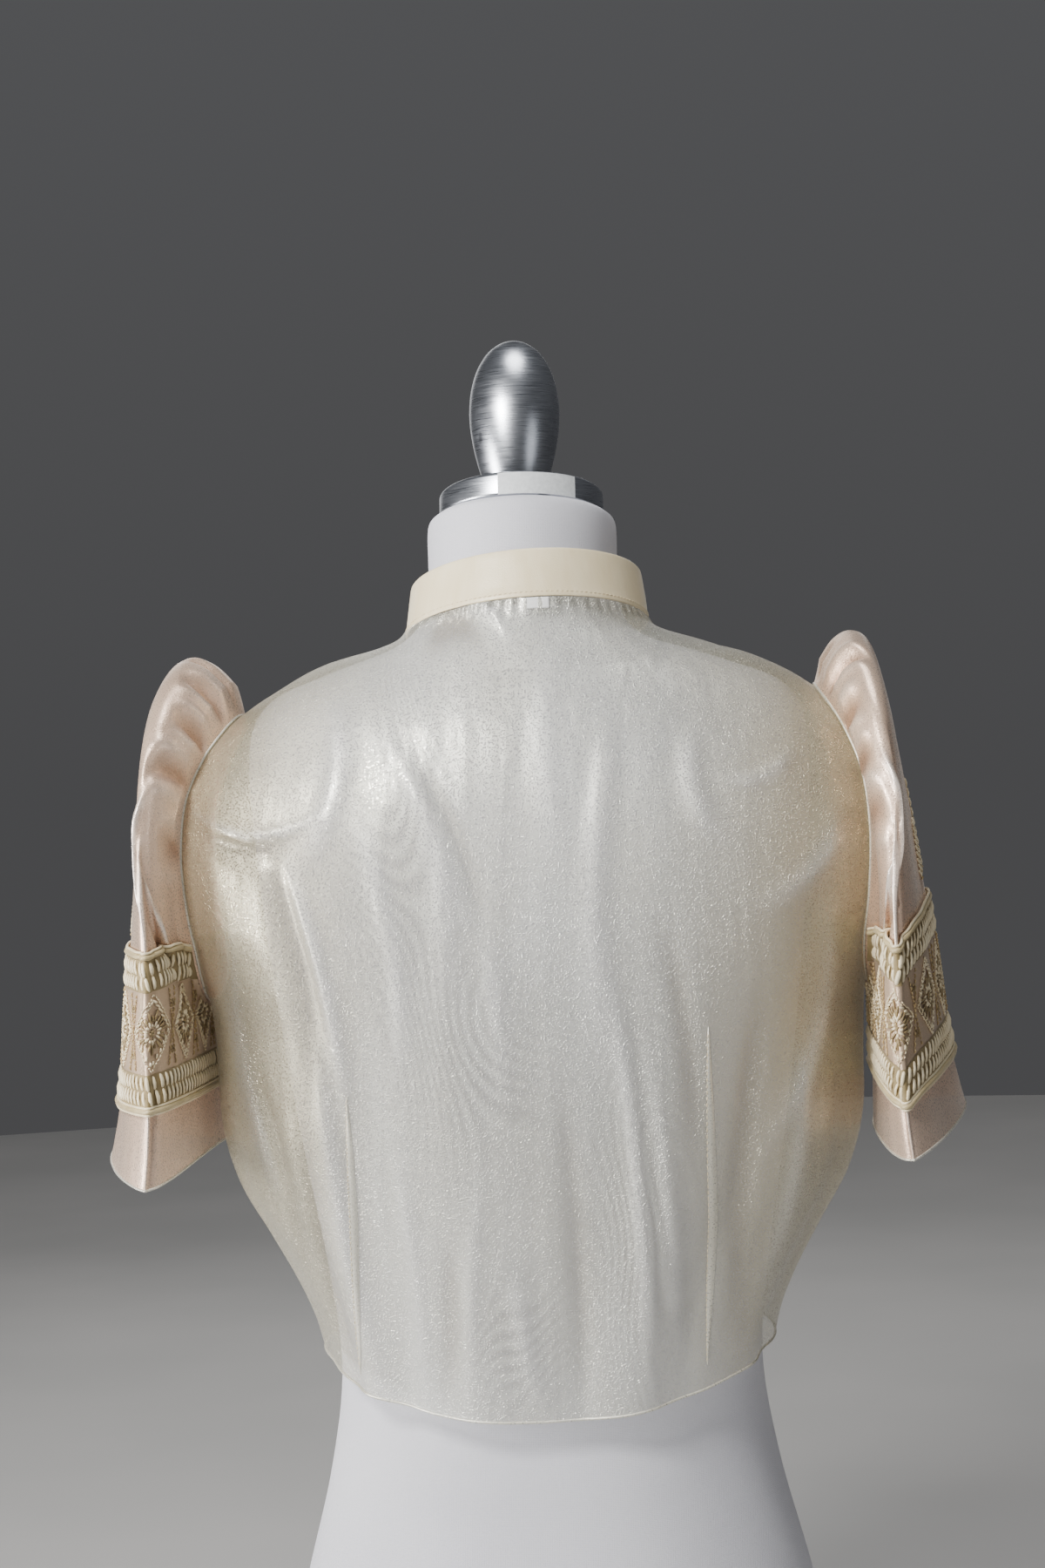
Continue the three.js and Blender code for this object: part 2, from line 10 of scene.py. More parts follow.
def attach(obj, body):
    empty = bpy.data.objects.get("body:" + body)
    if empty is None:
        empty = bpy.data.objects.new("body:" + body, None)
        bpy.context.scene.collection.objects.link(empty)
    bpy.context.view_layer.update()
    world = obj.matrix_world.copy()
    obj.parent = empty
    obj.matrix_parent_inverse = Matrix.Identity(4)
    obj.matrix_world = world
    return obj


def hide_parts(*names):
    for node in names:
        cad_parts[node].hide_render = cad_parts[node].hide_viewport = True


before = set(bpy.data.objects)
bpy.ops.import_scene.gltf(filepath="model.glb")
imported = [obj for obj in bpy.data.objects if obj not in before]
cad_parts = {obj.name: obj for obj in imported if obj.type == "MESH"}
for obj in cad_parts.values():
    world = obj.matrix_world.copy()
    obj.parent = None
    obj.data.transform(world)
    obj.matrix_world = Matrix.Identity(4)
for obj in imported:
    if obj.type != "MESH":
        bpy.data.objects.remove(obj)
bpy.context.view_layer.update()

MM = 0.001
TURN = 2 * math.pi
UP = np.array([0.0, 0.0, 1.0])

# ---- Driving sizes, as in the part ---------------------------------------------------------------
COLLAR_WALL = 1.6
SEAM_GAP = 0.3
COLLAR_HEIGHT = 28
COLLAR_LIFT = 7
COLLAR_SHIFT = 2
SHOULDER_DROP = 5
COLLAR_LEAN = 0.21
COLLAR_TAPER = 0.05
COLLAR_END_GAP = 6
COLLAR_CORNER = 10
BUST = {"x": 72, "z": 512, "spread_x": 34, "spread_z": 42, "form": 14, "cloth": 12}
TORSO_FLOOR = 95
NECK_CAP = {"radius": 47.5, "height": 15, "edge": 1.5}
FINIAL_ASIDE = 3
BASE_PLATE = {"radius": 150, "height": 10, "edge": 3}
POST = {"radius": 14, "flange": 45, "flange_height": 6}
ARMHOLE = {"top": 5, "bottom": 11, "back": 0.51, "front": 0.41, "gap": 1.3}
FRONT_OPENING = 46  # how far each front edge draws back from the middle by the hem
NECK_FADE = 2.5  # rows below the neckline that follow the collar's lift and shift
SHOULDER = {"from_x": 95, "to_x": 150, "from_row": 5.5, "to_row": 8.5}  # where SHOULDER_DROP acts


def table(columns, rows):
    return dict(zip(columns.split(), np.array(rows, float).T))


# half: half width. ys, yb, yf and zs, zb, zf: y and z of the side, back and front points.
# round: 1 is an ellipse, less is squarer. bend: 1 keeps the ring flat, 2 lets it sag in between.
RING_COLUMNS = "half ys yb yf zs zb zf round bend"
FORM_RINGS = table(RING_COLUMNS, [
    [50.5, -15, 33, -63, 830, 839.7, 820.3, 1, 1],
    [54.5, -14, 39, -67, 824, 834.5, 813.5, 1, 1],
    [54.5, -9, 46, -64, 797, 811, 783, 1, 1],
    [56.5, -3, 54, -60, 774, 789, 757, 1, 1],
    [67, 0, 61, -62, 760, 772, 738, 1, 1.1],
    [90, 2, 71.5, -70, 752.5, 746, 712, 0.97, 1.5],
    [120, 4, 83, -81, 742, 718, 683, 0.92, 2],
    [145, 5, 91.5, -91, 731, 690, 654, 0.9, 2],
    [157, 5, 96.5, -101, 714, 662, 624, 0.88, 2],
    [160, 4, 99, -110, 686, 634, 594, 0.87, 2],
    [158, 2, 99, -119, 648, 604, 565, 0.87, 2],
    [155, 0, 96, -126, 606, 572, 536, 0.87, 2],
    [150, -2, 91, -130, 560, 536, 507, 0.88, 2],
    [144, -4, 86, -126, 512, 496, 472, 0.88, 2],
    [136, -5, 80, -115, 460, 450, 434, 0.88, 2],
    [126, -6, 74, -102, 400, 396, 390, 0.88, 2],
    [121, -6, 73, -93, 345, 345, 345, 0.88, 2],
    [129, -4, 84, -92, 288, 288, 288, 0.88, 2],
    [145, 0, 102, -95, 225, 225, 225, 0.88, 2],
    [158, 2, 113, -99, 165, 165, 165, 0.88, 2],
    [157, 2, 110, -99, 120, 120, 120, 0.88, 2],
    [150, 2, 103, -93, TORSO_FLOOR, TORSO_FLOOR, TORSO_FLOOR, 0.88, 2],
])
BODY_RINGS = table(RING_COLUMNS, [
    [70, 0, 66, -66, 761.5, 776, 746, 1, 1],
    [77, 1, 68.5, -68.5, 758.4, 766.5, 735, 1, 1.1],
    [100, 3, 76, -76, 754.5, 750, 716, 0.95, 1.5],
    [124, 4, 85, -85, 748.5, 728, 692, 0.9, 2],
    [147, 5, 92.5, -94, 738, 706, 668, 0.86, 2],
    [164, 5, 98, -102.5, 727, 684, 644, 0.82, 2],
    [188, 5, 102, -110, 710, 662, 620, 0.77, 2],
    [204, 4, 105, -117.5, 688, 638, 596, 0.73, 2],
    [209, 3, 107, -124.5, 656, 613, 571, 0.71, 2],
    [205.5, 2, 108.5, -131, 622, 587, 546, 0.73, 2],
    [196, 1, 109, -136, 590, 560, 521, 0.76, 2],
    [187, 0, 109, -139, 560, 532, 497, 0.8, 2],
    [184.5, 0, 108.5, -139, 525, 503, 473, 0.83, 2],
    [183, 0, 107.5, -136, 488, 474, 450, 0.84, 2],
    [174, 0, 106, -131, 456, 446, 429, 0.85, 2],
    [158, 0, 104, -125, 428, 418, 410, 0.85, 2],
    [144, 0, 102, -119, 403, 390, 392, 0.85, 2],
    [134, 0, 100, -114, 381, 362, 376, 0.85, 2],
    [128.5, 0, 98, -110, 361, 334, 362, 0.85, 2],
])
HEM_ROW = len(BODY_RINGS["half"]) - 1

# The large soft folds of the part: the row each starts at, its place round the body there and at the
# hem in degrees, its width in degrees and its height, outward (+) or inward (-).
FOLDS = [
    (7, 57, 48, 5.5, 4.0),
    (9, 70, 60, 6, -3.0),
    (6, 88, 80, 7, 2.6),
    (10, 101, 97, 5, -2.4),
    (8, 113, 110, 6.5, 3.2),
    (11, 126, 123, 5, -2.2),
    (10, 142, 150, 8, 2.4),
    (9, 24, 22, 8, -2.2),
    (8, 158, 160, 7, -2.4),
    (8, 222, 226, 9, -3.0),
    (7, 244, 250, 7, 3.2),
    (8, 318, 314, 9, -3.0),
    (7, 296, 290, 7, 3.2),
]

# Finer creases of the cloth, each along a bowed line in x and z: width and height in millimetres, the
# height being above (+) or below (-) the cloth. The columns are x1, z1, x2, z2, bow, width, height and
# face, which is 1 on the back and -1 on the fronts.
CREASES = [
    [66, 762, 4, 762, 26, 5, 3.6, 1],  # rim of the dimple under the collar
    [50, 756, 16, 760, 8, 9, -3.8, 1],  # the dimple itself
    [182, 668, 108, 664, -12, 2.8, 3.4, 1],  # arc from the left armhole
    [178, 661, 118, 653, -10, 6, -2.6, 1],
    [98, 728, 116, 636, 9, 8, 2.4, 1],
    [126, 640, 97, 498, 6, 4.6, 3.2, 1],
    [138, 650, 112, 500, 8, 6, -2.2, 1],
    [112, 560, 84, 345, -5, 5, 3.0, 1],
    [124, 520, 100, 350, -4, 5, -2.4, 1],
    [86, 660, 66, 520, 9, 6, 2.0, 1],
    [70, 706, 40, 560, 14, 7, 2.0, 1],
    [52, 690, 22, 566, 12, 5, -1.6, 1],
    [36, 640, 10, 500, 9, 6, 1.6, 1],
    [70, 470, 62, 345, 3, 4.5, 1.8, 1],
    [44, 440, 50, 340, 3, 6, -1.8, 1],
    [24, 470, 34, 345, -3, 4, 1.5, 1],
    [8, 420, -4, 340, -3, 5, 1.8, 1],
    [-18, 742, -30, 620, -5, 10, 1.6, 1],
    [-20, 520, -26, 345, 2, 5, -1.4, 1],
    [-52, 700, -46, 520, -7, 7, 2.2, 1],
    [-48, 580, -60, 345, 5, 4.5, 2.8, 1],
    [-66, 540, -76, 350, 4, 5, 1.8, 1],
    [-78, 600, -88, 470, 4, 6, -2.0, 1],
    [-96, 704, -114, 640, -9, 7, 2.2, 1],
    [-150, 690, -110, 676, 7, 4, 2.2, 1],
    [-174, 652, -128, 606, 8, 7, 2.4, 1],
    [-168, 600, -124, 470, 12, 6, 2.2, 1],
    [-128, 560, -110, 370, -5, 6, -2.6, 1],
    [-150, 520, -122, 400, 6, 5, 1.8, 1],
    [162, 600, 128, 440, -12, 6, 2.2, 1],
    [150, 520, 128, 410, 4, 5, -2.0, 1],
    [60, 740, 96, 640, 10, 7, 2.2, -1],
    [-58, 742, -90, 650, -9, 6, 2.1, -1],
    [110, 620, 84, 470, 6, 7, 2.4, -1],
    [-112, 600, -90, 440, -5, 8, 2.4, -1],
    [140, 540, 120, 400, 5, 7, -2.1, -1],
    [-142, 560, -118, 410, -6, 6, -2.0, -1],
]
# The height of a crease, and the depth of a tuck, that counts as a full ridge or hollow in the painted
# highlight and painted shade of the colours.
FULL_RIDGE = 3.4
FULL_TUCK = 7
# Tiny ripples below the collar seam: how many round the neck, and how deep.
NECK_RIPPLES = {"count": 61, "depth": 0.45}

SLEEVE_RINGS = table("out outZ inn innZ depth pinch bulge sag", [
    [169, 742, 189.8, 556.5, 75, 1, 12.5, 0],
    [178, 752.5, 190.6, 552.5, 86, 1, 10, 0],
    [188.5, 757, 191, 549, 93, 1, 9, 0],
    [198, 751, 191, 547.5, 96, 1.05, 9, 0],
    [205, 728.5, 191, 546.5, 97, 1.1, 6, 0],
    [210.5, 698, 191, 545.5, 98, 1.15, 2.5, 0],
    [216.5, 658, 191, 544, 99, 1.2, -2, 0],
    [222, 618, 191, 541, 100, 1.3, -5, 1],
    [227, 578, 190.8, 532, 101, 1.4, -7, 2],
    [232, 532, 190.5, 512, 102, 1.4, -9, 5],
    [237.5, 502, 190, 492, 103, 1.4, -10, 8],
    [242.5, 480, 189.5, 476, 104, 1.4, -10, 11],
])
SLEEVE_HEM = len(SLEEVE_RINGS["out"])
SLEEVE_CENTRE_Y = 3
SLEEVE_FRONT_BULGE = 7
SLEEVE_TILT = 3
SLEEVE_CROWDING = 0.175  # radians by which columns are drawn toward the top and back of a sleeve
ARM_CENTRE = (190.0, 650.0)  # x and z of the point that tucks fold toward
OUTER_RISE = {1: -3, -1: 10}  # how far each sleeve's outer face is raised at its foot

# Tucks in the standing cap: each at some degrees from its top, on the back (+) or front (-) half, with
# its width in degrees and its depth inward.
TUCKS = {
    -1: [(12, 3.4, 4.0), (31, 4.2, 9.0), (51, 4.6, 11), (70, 4.6, 10), (88, 6, 7.0),
         (-18, 4.6, 6), (-40, 5, 8), (-61, 4.6, 7), (-84, 6, 5)],
    1: [(10, 3.6, 4.2), (27, 4.6, 8.0), (47, 4.2, 10), (66, 5, 9), (91, 6, 7.0),
        (-21, 4.6, 6.4), (-43, 5, 7.4), (-60, 4.6, 7), (-80, 6, 5)],
}
# Creases down each sleeve: degrees at its top and foot, the rows between, width in degrees, height.
SLEEVE_CREASES = {
    -1: [(90, 90, 3.6, 12, 2.4, 2.4), (128, 93, 3.0, 5.6, 5, 4.2), (134, 100, 3.8, 6.4, 5.5, -3.6),
         (72, 86, 3.2, 6.5, 3.2, 3.0), (60, 80, 4, 9, 5, -2.6), (40, 52, 3.5, 11, 9, 1.0),
         (104, 99, 5.6, 12, 5, -1.6), (-50, -62, 4, 10, 8, 2.2), (-84, -88, 4, 12, 3, 2.2)],
    1: [(88, 90, 3.8, 12, 2.4, 2.2), (122, 98, 2.6, 4.8, 5, 3.0), (130, 106, 3.4, 5.6, 6, -2.8),
        (75, 86, 3.4, 7, 3.2, 2.8), (62, 82, 4, 8.4, 5, -2.6), (36, 48, 3.5, 11, 10, 0.9),
        (103, 99, 5.4, 12, 5, -1.6), (-44, -58, 4, 11, 8, 2.0), (-86, -89, 4, 12, 3, 2.2)],
}

# The embroidered band: heights of its edges, the lift of its net, the length of one repeat and how far
# past the back crease a repeat is centred. For each sleeve, how far its top and bottom edges dip in a V
# from the inner and outer faces to the creases.
BAND = {"top": 600, "bottom": 509, "lift": 1.6, "repeat": 39, "past_crease": 4, "step": 2}
BAND_DIP = {1: (5, 2), -1: (22, 18)}
# How far stitches, cords and the dark ground under the slanted rows, painted shade between the
# stitches, lie above the net.
ABOVE_NET = {"stitch": 0.35, "cord": 0.4, "ground": 0.25}


# ---- Small mathematics ---------------------------------------------------------------------------
def signed_power(value, power):
    return np.sign(value) * np.abs(value) ** power


def smoothstep(value, low, high):
    t = np.clip((value - low) / (high - low), 0, 1)
    return t * t * (3 - 2 * t)


def lerp(a, b, t):
    return a + (b - a) * t


def along(rings, name, at):
    """One column of a ring table at rows that need not be whole, on a smooth curve."""
    values = rings[name]
    last = len(values) - 1
    place = np.clip(at, 0, last)
    i = np.minimum(np.floor(place).astype(int), last - 1)
    t = place - i
    slopes = np.gradient(values)
    return (values[i] * (2 * t**3 - 3 * t**2 + 1) + slopes[i] * (t**3 - 2 * t**2 + t)
            + values[i + 1] * (3 * t**2 - 2 * t**3) + slopes[i + 1] * (t**3 - t**2))


def unit(vectors):
    length = np.linalg.norm(vectors, axis=-1, keepdims=True)
    return vectors / np.maximum(length, 1e-9)


def ring_point(rings, angle, row, bust):
    c = np.cos(angle)
    s = np.sin(angle)
    behind = s >= 0
    half, ys, yb, yf, zs, zb, zf, squareness, bend = (along(rings, name, row) for name in rings)
    x = half * signed_power(c, squareness)
    sag = np.abs(s) ** bend
    z = zs + np.where(behind, zb - zs, zf - zs) * sag
    y = ys + np.where(behind, yb - ys, ys - yf) * signed_power(s, squareness)
    across = (np.abs(x) - BUST["x"]) / BUST["spread_x"]
    up = (z - BUST["z"]) / BUST["spread_z"]
    y = y - np.where(behind, 0, bust * np.exp(-(across**2 + up**2) / 2) * np.abs(s))
    return np.stack([x, y, z], axis=-1)


def fold_height(angle, row):
    degrees = np.degrees(angle) % 360
    height = np.zeros(np.broadcast(angle, row).shape)
    for top_row, top_angle, hem_angle, width, rise in FOLDS:
        down = np.clip((row - top_row) / (HEM_ROW - top_row), 0, 1)
        aside = (degrees - lerp(top_angle, hem_angle, down)) / width
        height += rise * smoothstep(down, 0, 0.55) * np.exp(-(aside**2))
    return height


def crease_height(points):
    """How far the fine creases raise the cloth at each point."""
    x, y, z = points[..., 0], points[..., 1], points[..., 2]
    height = np.zeros(x.shape)
    for x1, z1, x2, z2, bow, width, rise, face in CREASES:
        dx, dz = x2 - x1, z2 - z1
        length = math.hypot(dx, dz)
        t = ((x - x1) * dx + (z - z1) * dz) / length**2
        off = ((x - x1) * dz - (z - z1) * dx) / length
        off = off - bow * (1 - (2 * np.clip(t, 0, 1) - 1) ** 2)
        fade = smoothstep(t, -0.12, 0.3) * (1 - smoothstep(t, 0.6, 1.15))
        height += rise * np.exp(-((off / width) ** 2)) * fade * (y * face > 0)
    return height


def body_relief(points):
    """How strongly each point of the body lies on a ridge (+) or in a hollow (-), which sets the
    painted highlight and painted shade of its colour.
    """
    return crease_height(points) / FULL_RIDGE


def body_point(angle, row, creased=True):
    """The outer face of the jacket body. Angle 0 is the wearer's left, a quarter turn is the back."""
    p = ring_point(BODY_RINGS, angle, row, BUST["cloth"])
    near_neck = np.clip(1 - row / NECK_FADE, 0, 1)
    aside = smoothstep(p[..., 0], SHOULDER["from_x"], SHOULDER["to_x"])
    p[..., 2] += COLLAR_LIFT * near_neck * (1 - p[..., 0] / BODY_RINGS["half"][0]) * 0.5
    p[..., 2] -= SHOULDER_DROP * aside * (1 - smoothstep(row, SHOULDER["from_row"], SHOULDER["to_row"]))
    p[..., 0] -= COLLAR_SHIFT * near_neck
    out = fold_height(angle, row)
    if creased:
        ripple = NECK_RIPPLES["depth"] * np.sin(NECK_RIPPLES["count"] * angle + 2 * np.sin(5 * angle))
        out = out + crease_height(p) + ripple * np.exp(-((row - 0.35) / 0.5) ** 2)
    outward = np.stack([np.cos(angle), np.sin(angle), np.zeros(np.shape(angle))], axis=-1)
    return p + outward * out[..., None]


def steps(points, axis, closed):
    """From the point before each point to the one after it, along one axis."""
    if closed:
        return np.roll(points, -1, axis=axis) - np.roll(points, 1, axis=axis)
    return np.gradient(points, axis=axis)


def grid_normals(points, closed=False):
    """Unit normals of a grid of points, rows by columns, on the side of columns x rows."""
    return unit(np.cross(steps(points, 1, closed), np.gradient(points, axis=0)))


# ---- Meshes --------------------------------------------------------------------------------------
def new_object(name, points, faces, materials, face_materials=None):
    mesh = bpy.data.meshes.new(name)
    mesh.from_pydata((np.asarray(points).reshape(-1, 3) * MM).tolist(), [], faces)
    for material in materials:
        mesh.materials.append(material)
    if face_materials is not None:
        mesh.polygons.foreach_set("material_index", face_materials)
    mesh.polygons.foreach_set("use_smooth", [True] * len(mesh.polygons))
    mesh.update()
    obj = bpy.data.objects.new(name, mesh)
    bpy.context.scene.collection.objects.link(obj)
    return obj


def grid_faces(rows, columns, closed=False, start=0):
    j = np.arange(rows - 1)[:, None]
    i = np.arange(columns if closed else columns - 1)[None, :]
    k = (i + 1) % columns
    quads = [j * columns + i, j * columns + k, (j + 1) * columns + k, (j + 1) * columns + i]
    return (np.stack(np.broadcast_arrays(*quads), axis=-1).reshape(-1, 4) + start).tolist()


def sheet_object(name, points, material, closed=False, flip=False, relief=None):
    """A thin sheet of cloth through a grid of points. relief is -1 in hollows and 1 on ridges, and sets
    the painted shade and painted highlight of its colour.
    """
    rows, columns = points.shape[:2]
    faces = grid_faces(rows, columns, closed)
    if flip:
        faces = [face[::-1] for face in faces]
    piece = new_object(name, points, faces, [material])
    if relief is not None:
        layer = piece.data.attributes.new("relief", "FLOAT", "POINT")
        layer.data.foreach_set("value", np.clip(relief, -1, 1).astype(np.float32).ravel())
    return piece


def capped(faces, rows, columns):
    """A closed grid's faces turned over, with a fan on each end. Two centres follow its points."""
    first, last = rows * columns, rows * columns + 1
    for i in range(columns):
        k = (i + 1) % columns
        faces.append([first, k, i])
        faces.append([last, (rows - 1) * columns + i, (rows - 1) * columns + k])
    return [face[::-1] for face in faces]


TUBE_SIDES = 8


def tube_parts(path, radius, closed, start):
    """Points and faces of a round tube along a path. start is the number of its first point."""
    path = np.asarray(path, float)
    ahead = unit(steps(path, 0, closed))
    side = unit(np.cross(ahead, UP + 0.01))
    over = np.cross(side, ahead)
    a = np.arange(TUBE_SIDES)[None, :, None] * TURN / TUBE_SIDES
    points = path[:, None] + (side[:, None] * np.cos(a) + over[:, None] * np.sin(a)) * radius
    faces = grid_faces(len(path), TUBE_SIDES, closed=True, start=start)
    last = start + (len(path) - 1) * TUBE_SIDES
    around = list(range(TUBE_SIDES))
    if closed:
        for i, k in zip(around, around[1:] + around[:1]):
            faces.append([last + i, last + k, start + k, start + i])
    else:
        faces += [[start + i for i in around][::-1], [last + i for i in around]]
    return points.reshape(-1, 3), faces


def tubes_object(name, tubes, material):
    """Several tubes, each (path, radius, closed), joined in one mesh."""
    all_points, all_faces = np.empty((0, 3)), []
    for path, radius, closed in tubes:
        points, faces = tube_parts(path, radius, closed, start=len(all_points))
        all_points = np.concatenate([all_points, points])
        all_faces += faces
    return new_object(name, all_points, all_faces, [material])


STITCH_STEPS = np.array([0.0, 0.12, 0.5, 0.88, 1.0])
STITCH_GIRTH = np.array([0.35, 0.85, 1.0, 0.85, 0.35])
STITCH_SIDES = 5


def stitches_object(name, stitches, materials):
    """Satin stitches as small plump strands. Each is (start, end, normal, width, height, material)."""
    a, b, normal, width, height = (np.array([s[n] for s in stitches], float) for n in range(5))
    normal = unit(normal)
    side = unit(np.cross(b - a, normal))
    turn = np.arange(STITCH_SIDES)[:, None] * TURN / STITCH_SIDES
    width, height = (size[:, None, None, None] for size in (width, height))
    centre = a[:, None] + (b - a)[:, None] * STITCH_STEPS[:, None]
    arch = np.sin(math.pi * STITCH_STEPS)[:, None] * height[:, 0] * 0.5
    centre = centre + normal[:, None] * arch
    girth = STITCH_GIRTH[:, None, None]
    points = (centre[:, :, None] + side[:, None, None] * (np.cos(turn) * girth * width / 2)
              + normal[:, None, None] * (np.sin(turn) * girth * height / 2))
    count = len(STITCH_STEPS) * STITCH_SIDES
    one = grid_faces(len(STITCH_STEPS), STITCH_SIDES, closed=True)
    around = list(range(STITCH_SIDES))
    one += [around[::-1], [count - STITCH_SIDES + i for i in around]]
    faces, kinds = [], []
    for n, stitch in enumerate(stitches):
        faces += [[v + n * count for v in face] for face in one]
        kinds += [stitch[5]] * len(one)
    return new_object(name, points, faces, materials, kinds)


def lathe_object(name, profile, material, segments=96, place=None):
    """A turned piece from pairs of radius and height, with its ends on the axis."""
    a = np.arange(segments) * TURN / segments
    inner = np.array(profile[1:-1], float)
    radius, up = inner[:, :1], inner[:, 1:]
    points = np.stack([radius * np.cos(a), radius * np.sin(a), up + 0 * a], axis=-1)
    count = len(inner)
    faces = [face[::-1] for face in grid_faces(count, segments, closed=True)]
    ends = np.array([[0, 0, profile[0][1]], [0, 0, profile[-1][1]]], float)
    points = np.concatenate([points.reshape(-1, 3), ends])
    if place is not None:
        points = place(points)
    return new_object(name, points, capped(faces, count, segments), [material])


def rounded(profile, radius, steps=4):
    """A profile of radius and height pairs with its inner corners rounded off."""
    points = [np.array(profile[0], float)]
    for before, corner, after in zip(profile, profile[1:], profile[2:]):
        before, corner, after = (np.array(p, float) for p in (before, corner, after))
        reach = min(radius, np.linalg.norm(before - corner) / 2.2, np.linalg.norm(after - corner) / 2.2)
        start = corner + (before - corner) / np.linalg.norm(before - corner) * reach
        end = corner + (after - corner) / np.linalg.norm(after - corner) * reach
        for t in np.linspace(0, 1, steps):
            points.append((1 - t) ** 2 * start + 2 * t * (1 - t) * corner + t**2 * end)
    points.append(np.array(profile[-1], float))
    return [tuple(p) for p in points]


def declare(obj, *nodes, slot):
    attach(obj, "root")
    if nodes:
        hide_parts(*nodes)
    return obj


# ---- Materials -----------------------------------------------------------------------------------
class Shader:
    """A Principled material with short ways to add the nodes that the surfaces here need."""

    def __init__(self, name, **sockets):
        self.material = bpy.data.materials.new(name)
        self.material.use_nodes = True
        self.tree = self.material.node_tree
        self.bsdf = self.tree.nodes["Principled BSDF"]
        for socket, value in sockets.items():
            self.bsdf.inputs[socket.replace("_", " ")].default_value = value
        self.place = self.tree.nodes.new("ShaderNodeTexCoord").outputs["Object"]

    def add(self, kind, settings=None, **inputs):
        node = self.tree.nodes.new(kind)
        for key, value in (settings or {}).items():
            setattr(node, key, value)
        for key, value in inputs.items():
            socket = node.inputs[int(key[1:]) if key in ("i0", "i1") else key]
            if isinstance(value, bpy.types.NodeSocket):
                self.tree.links.new(value, socket)
            else:
                socket.default_value = value
        return node

    def math(self, operation, a, b=0.0):
        return self.add("ShaderNodeMath", {"operation": operation}, i0=a, i1=b).outputs[0]

    def stretched(self, x, y, z):
        node = self.add("ShaderNodeMapping", Vector=self.place, Scale=(x, y, z))
        return node.outputs[0]

    def noise(self, scale, detail=2.0, vector=None, distortion=0.0):
        node = self.add("ShaderNodeTexNoise", Vector=vector or self.place, Scale=scale, Detail=detail,
                        Distortion=distortion)
        return node.outputs["Fac"]

    def wave(self, scale, direction="X", distortion=0.0, detail_scale=1.0):
        settings = {"wave_type": "BANDS", "bands_direction": direction}
        node = self.add("ShaderNodeTexWave", settings, Vector=self.place, Scale=scale,
                        Distortion=distortion)
        node.inputs["Detail Scale"].default_value = detail_scale
        return node.outputs["Fac"]

    def ramp(self, factor, *stops):
        """Colours or greys along a factor: each stop is (place, colour)."""
        node = self.add("ShaderNodeValToRGB", Fac=factor)
        elements = node.color_ramp.elements
        while len(elements) < len(stops):
            elements.new(0.5)
        for element, (place, colour) in zip(elements, stops):
            element.position = place
            element.color = (*colour, 1) if hasattr(colour, "__len__") else (colour, colour, colour, 1)
        return node.outputs["Color"]

    def tones(self, field, low, high, end=0.7):
        """From one colour or grey to another along the middle of a noise field."""
        return self.ramp(field, (0.3, low), (end, high))

    def mix(self, factor, a, b, blend="MIX"):
        node = self.add("ShaderNodeMix", {"data_type": "RGBA", "blend_type": blend})
        sockets = node.inputs["Factor"], node.inputs[6], node.inputs[7]
        for socket, value in zip(sockets, (factor, a, b)):
            if isinstance(value, bpy.types.NodeSocket):
                self.tree.links.new(value, socket)
            elif hasattr(value, "__len__"):
                socket.default_value = (*value, 1)
            else:
                socket.default_value = value
        return node.outputs[2]

    def bump(self, height, distance, strength=1.0, under=None):
        node = self.add("ShaderNodeBump", Height=height, Distance=distance, Strength=strength)
        if under is not None:
            self.tree.links.new(under, node.inputs["Normal"])
        return node.outputs[0]

    def finish(self, color=None, roughness=None, normal=None):
        for name, socket in (("Base Color", color), ("Roughness", roughness), ("Normal", normal)):
            if socket is not None:
                self.tree.links.new(socket, self.bsdf.inputs[name])
        return self.material


# The painted highlight that the cloth's colour takes on ridges.
RIDGE_HIGHLIGHT = (0.97, 0.96, 0.93)


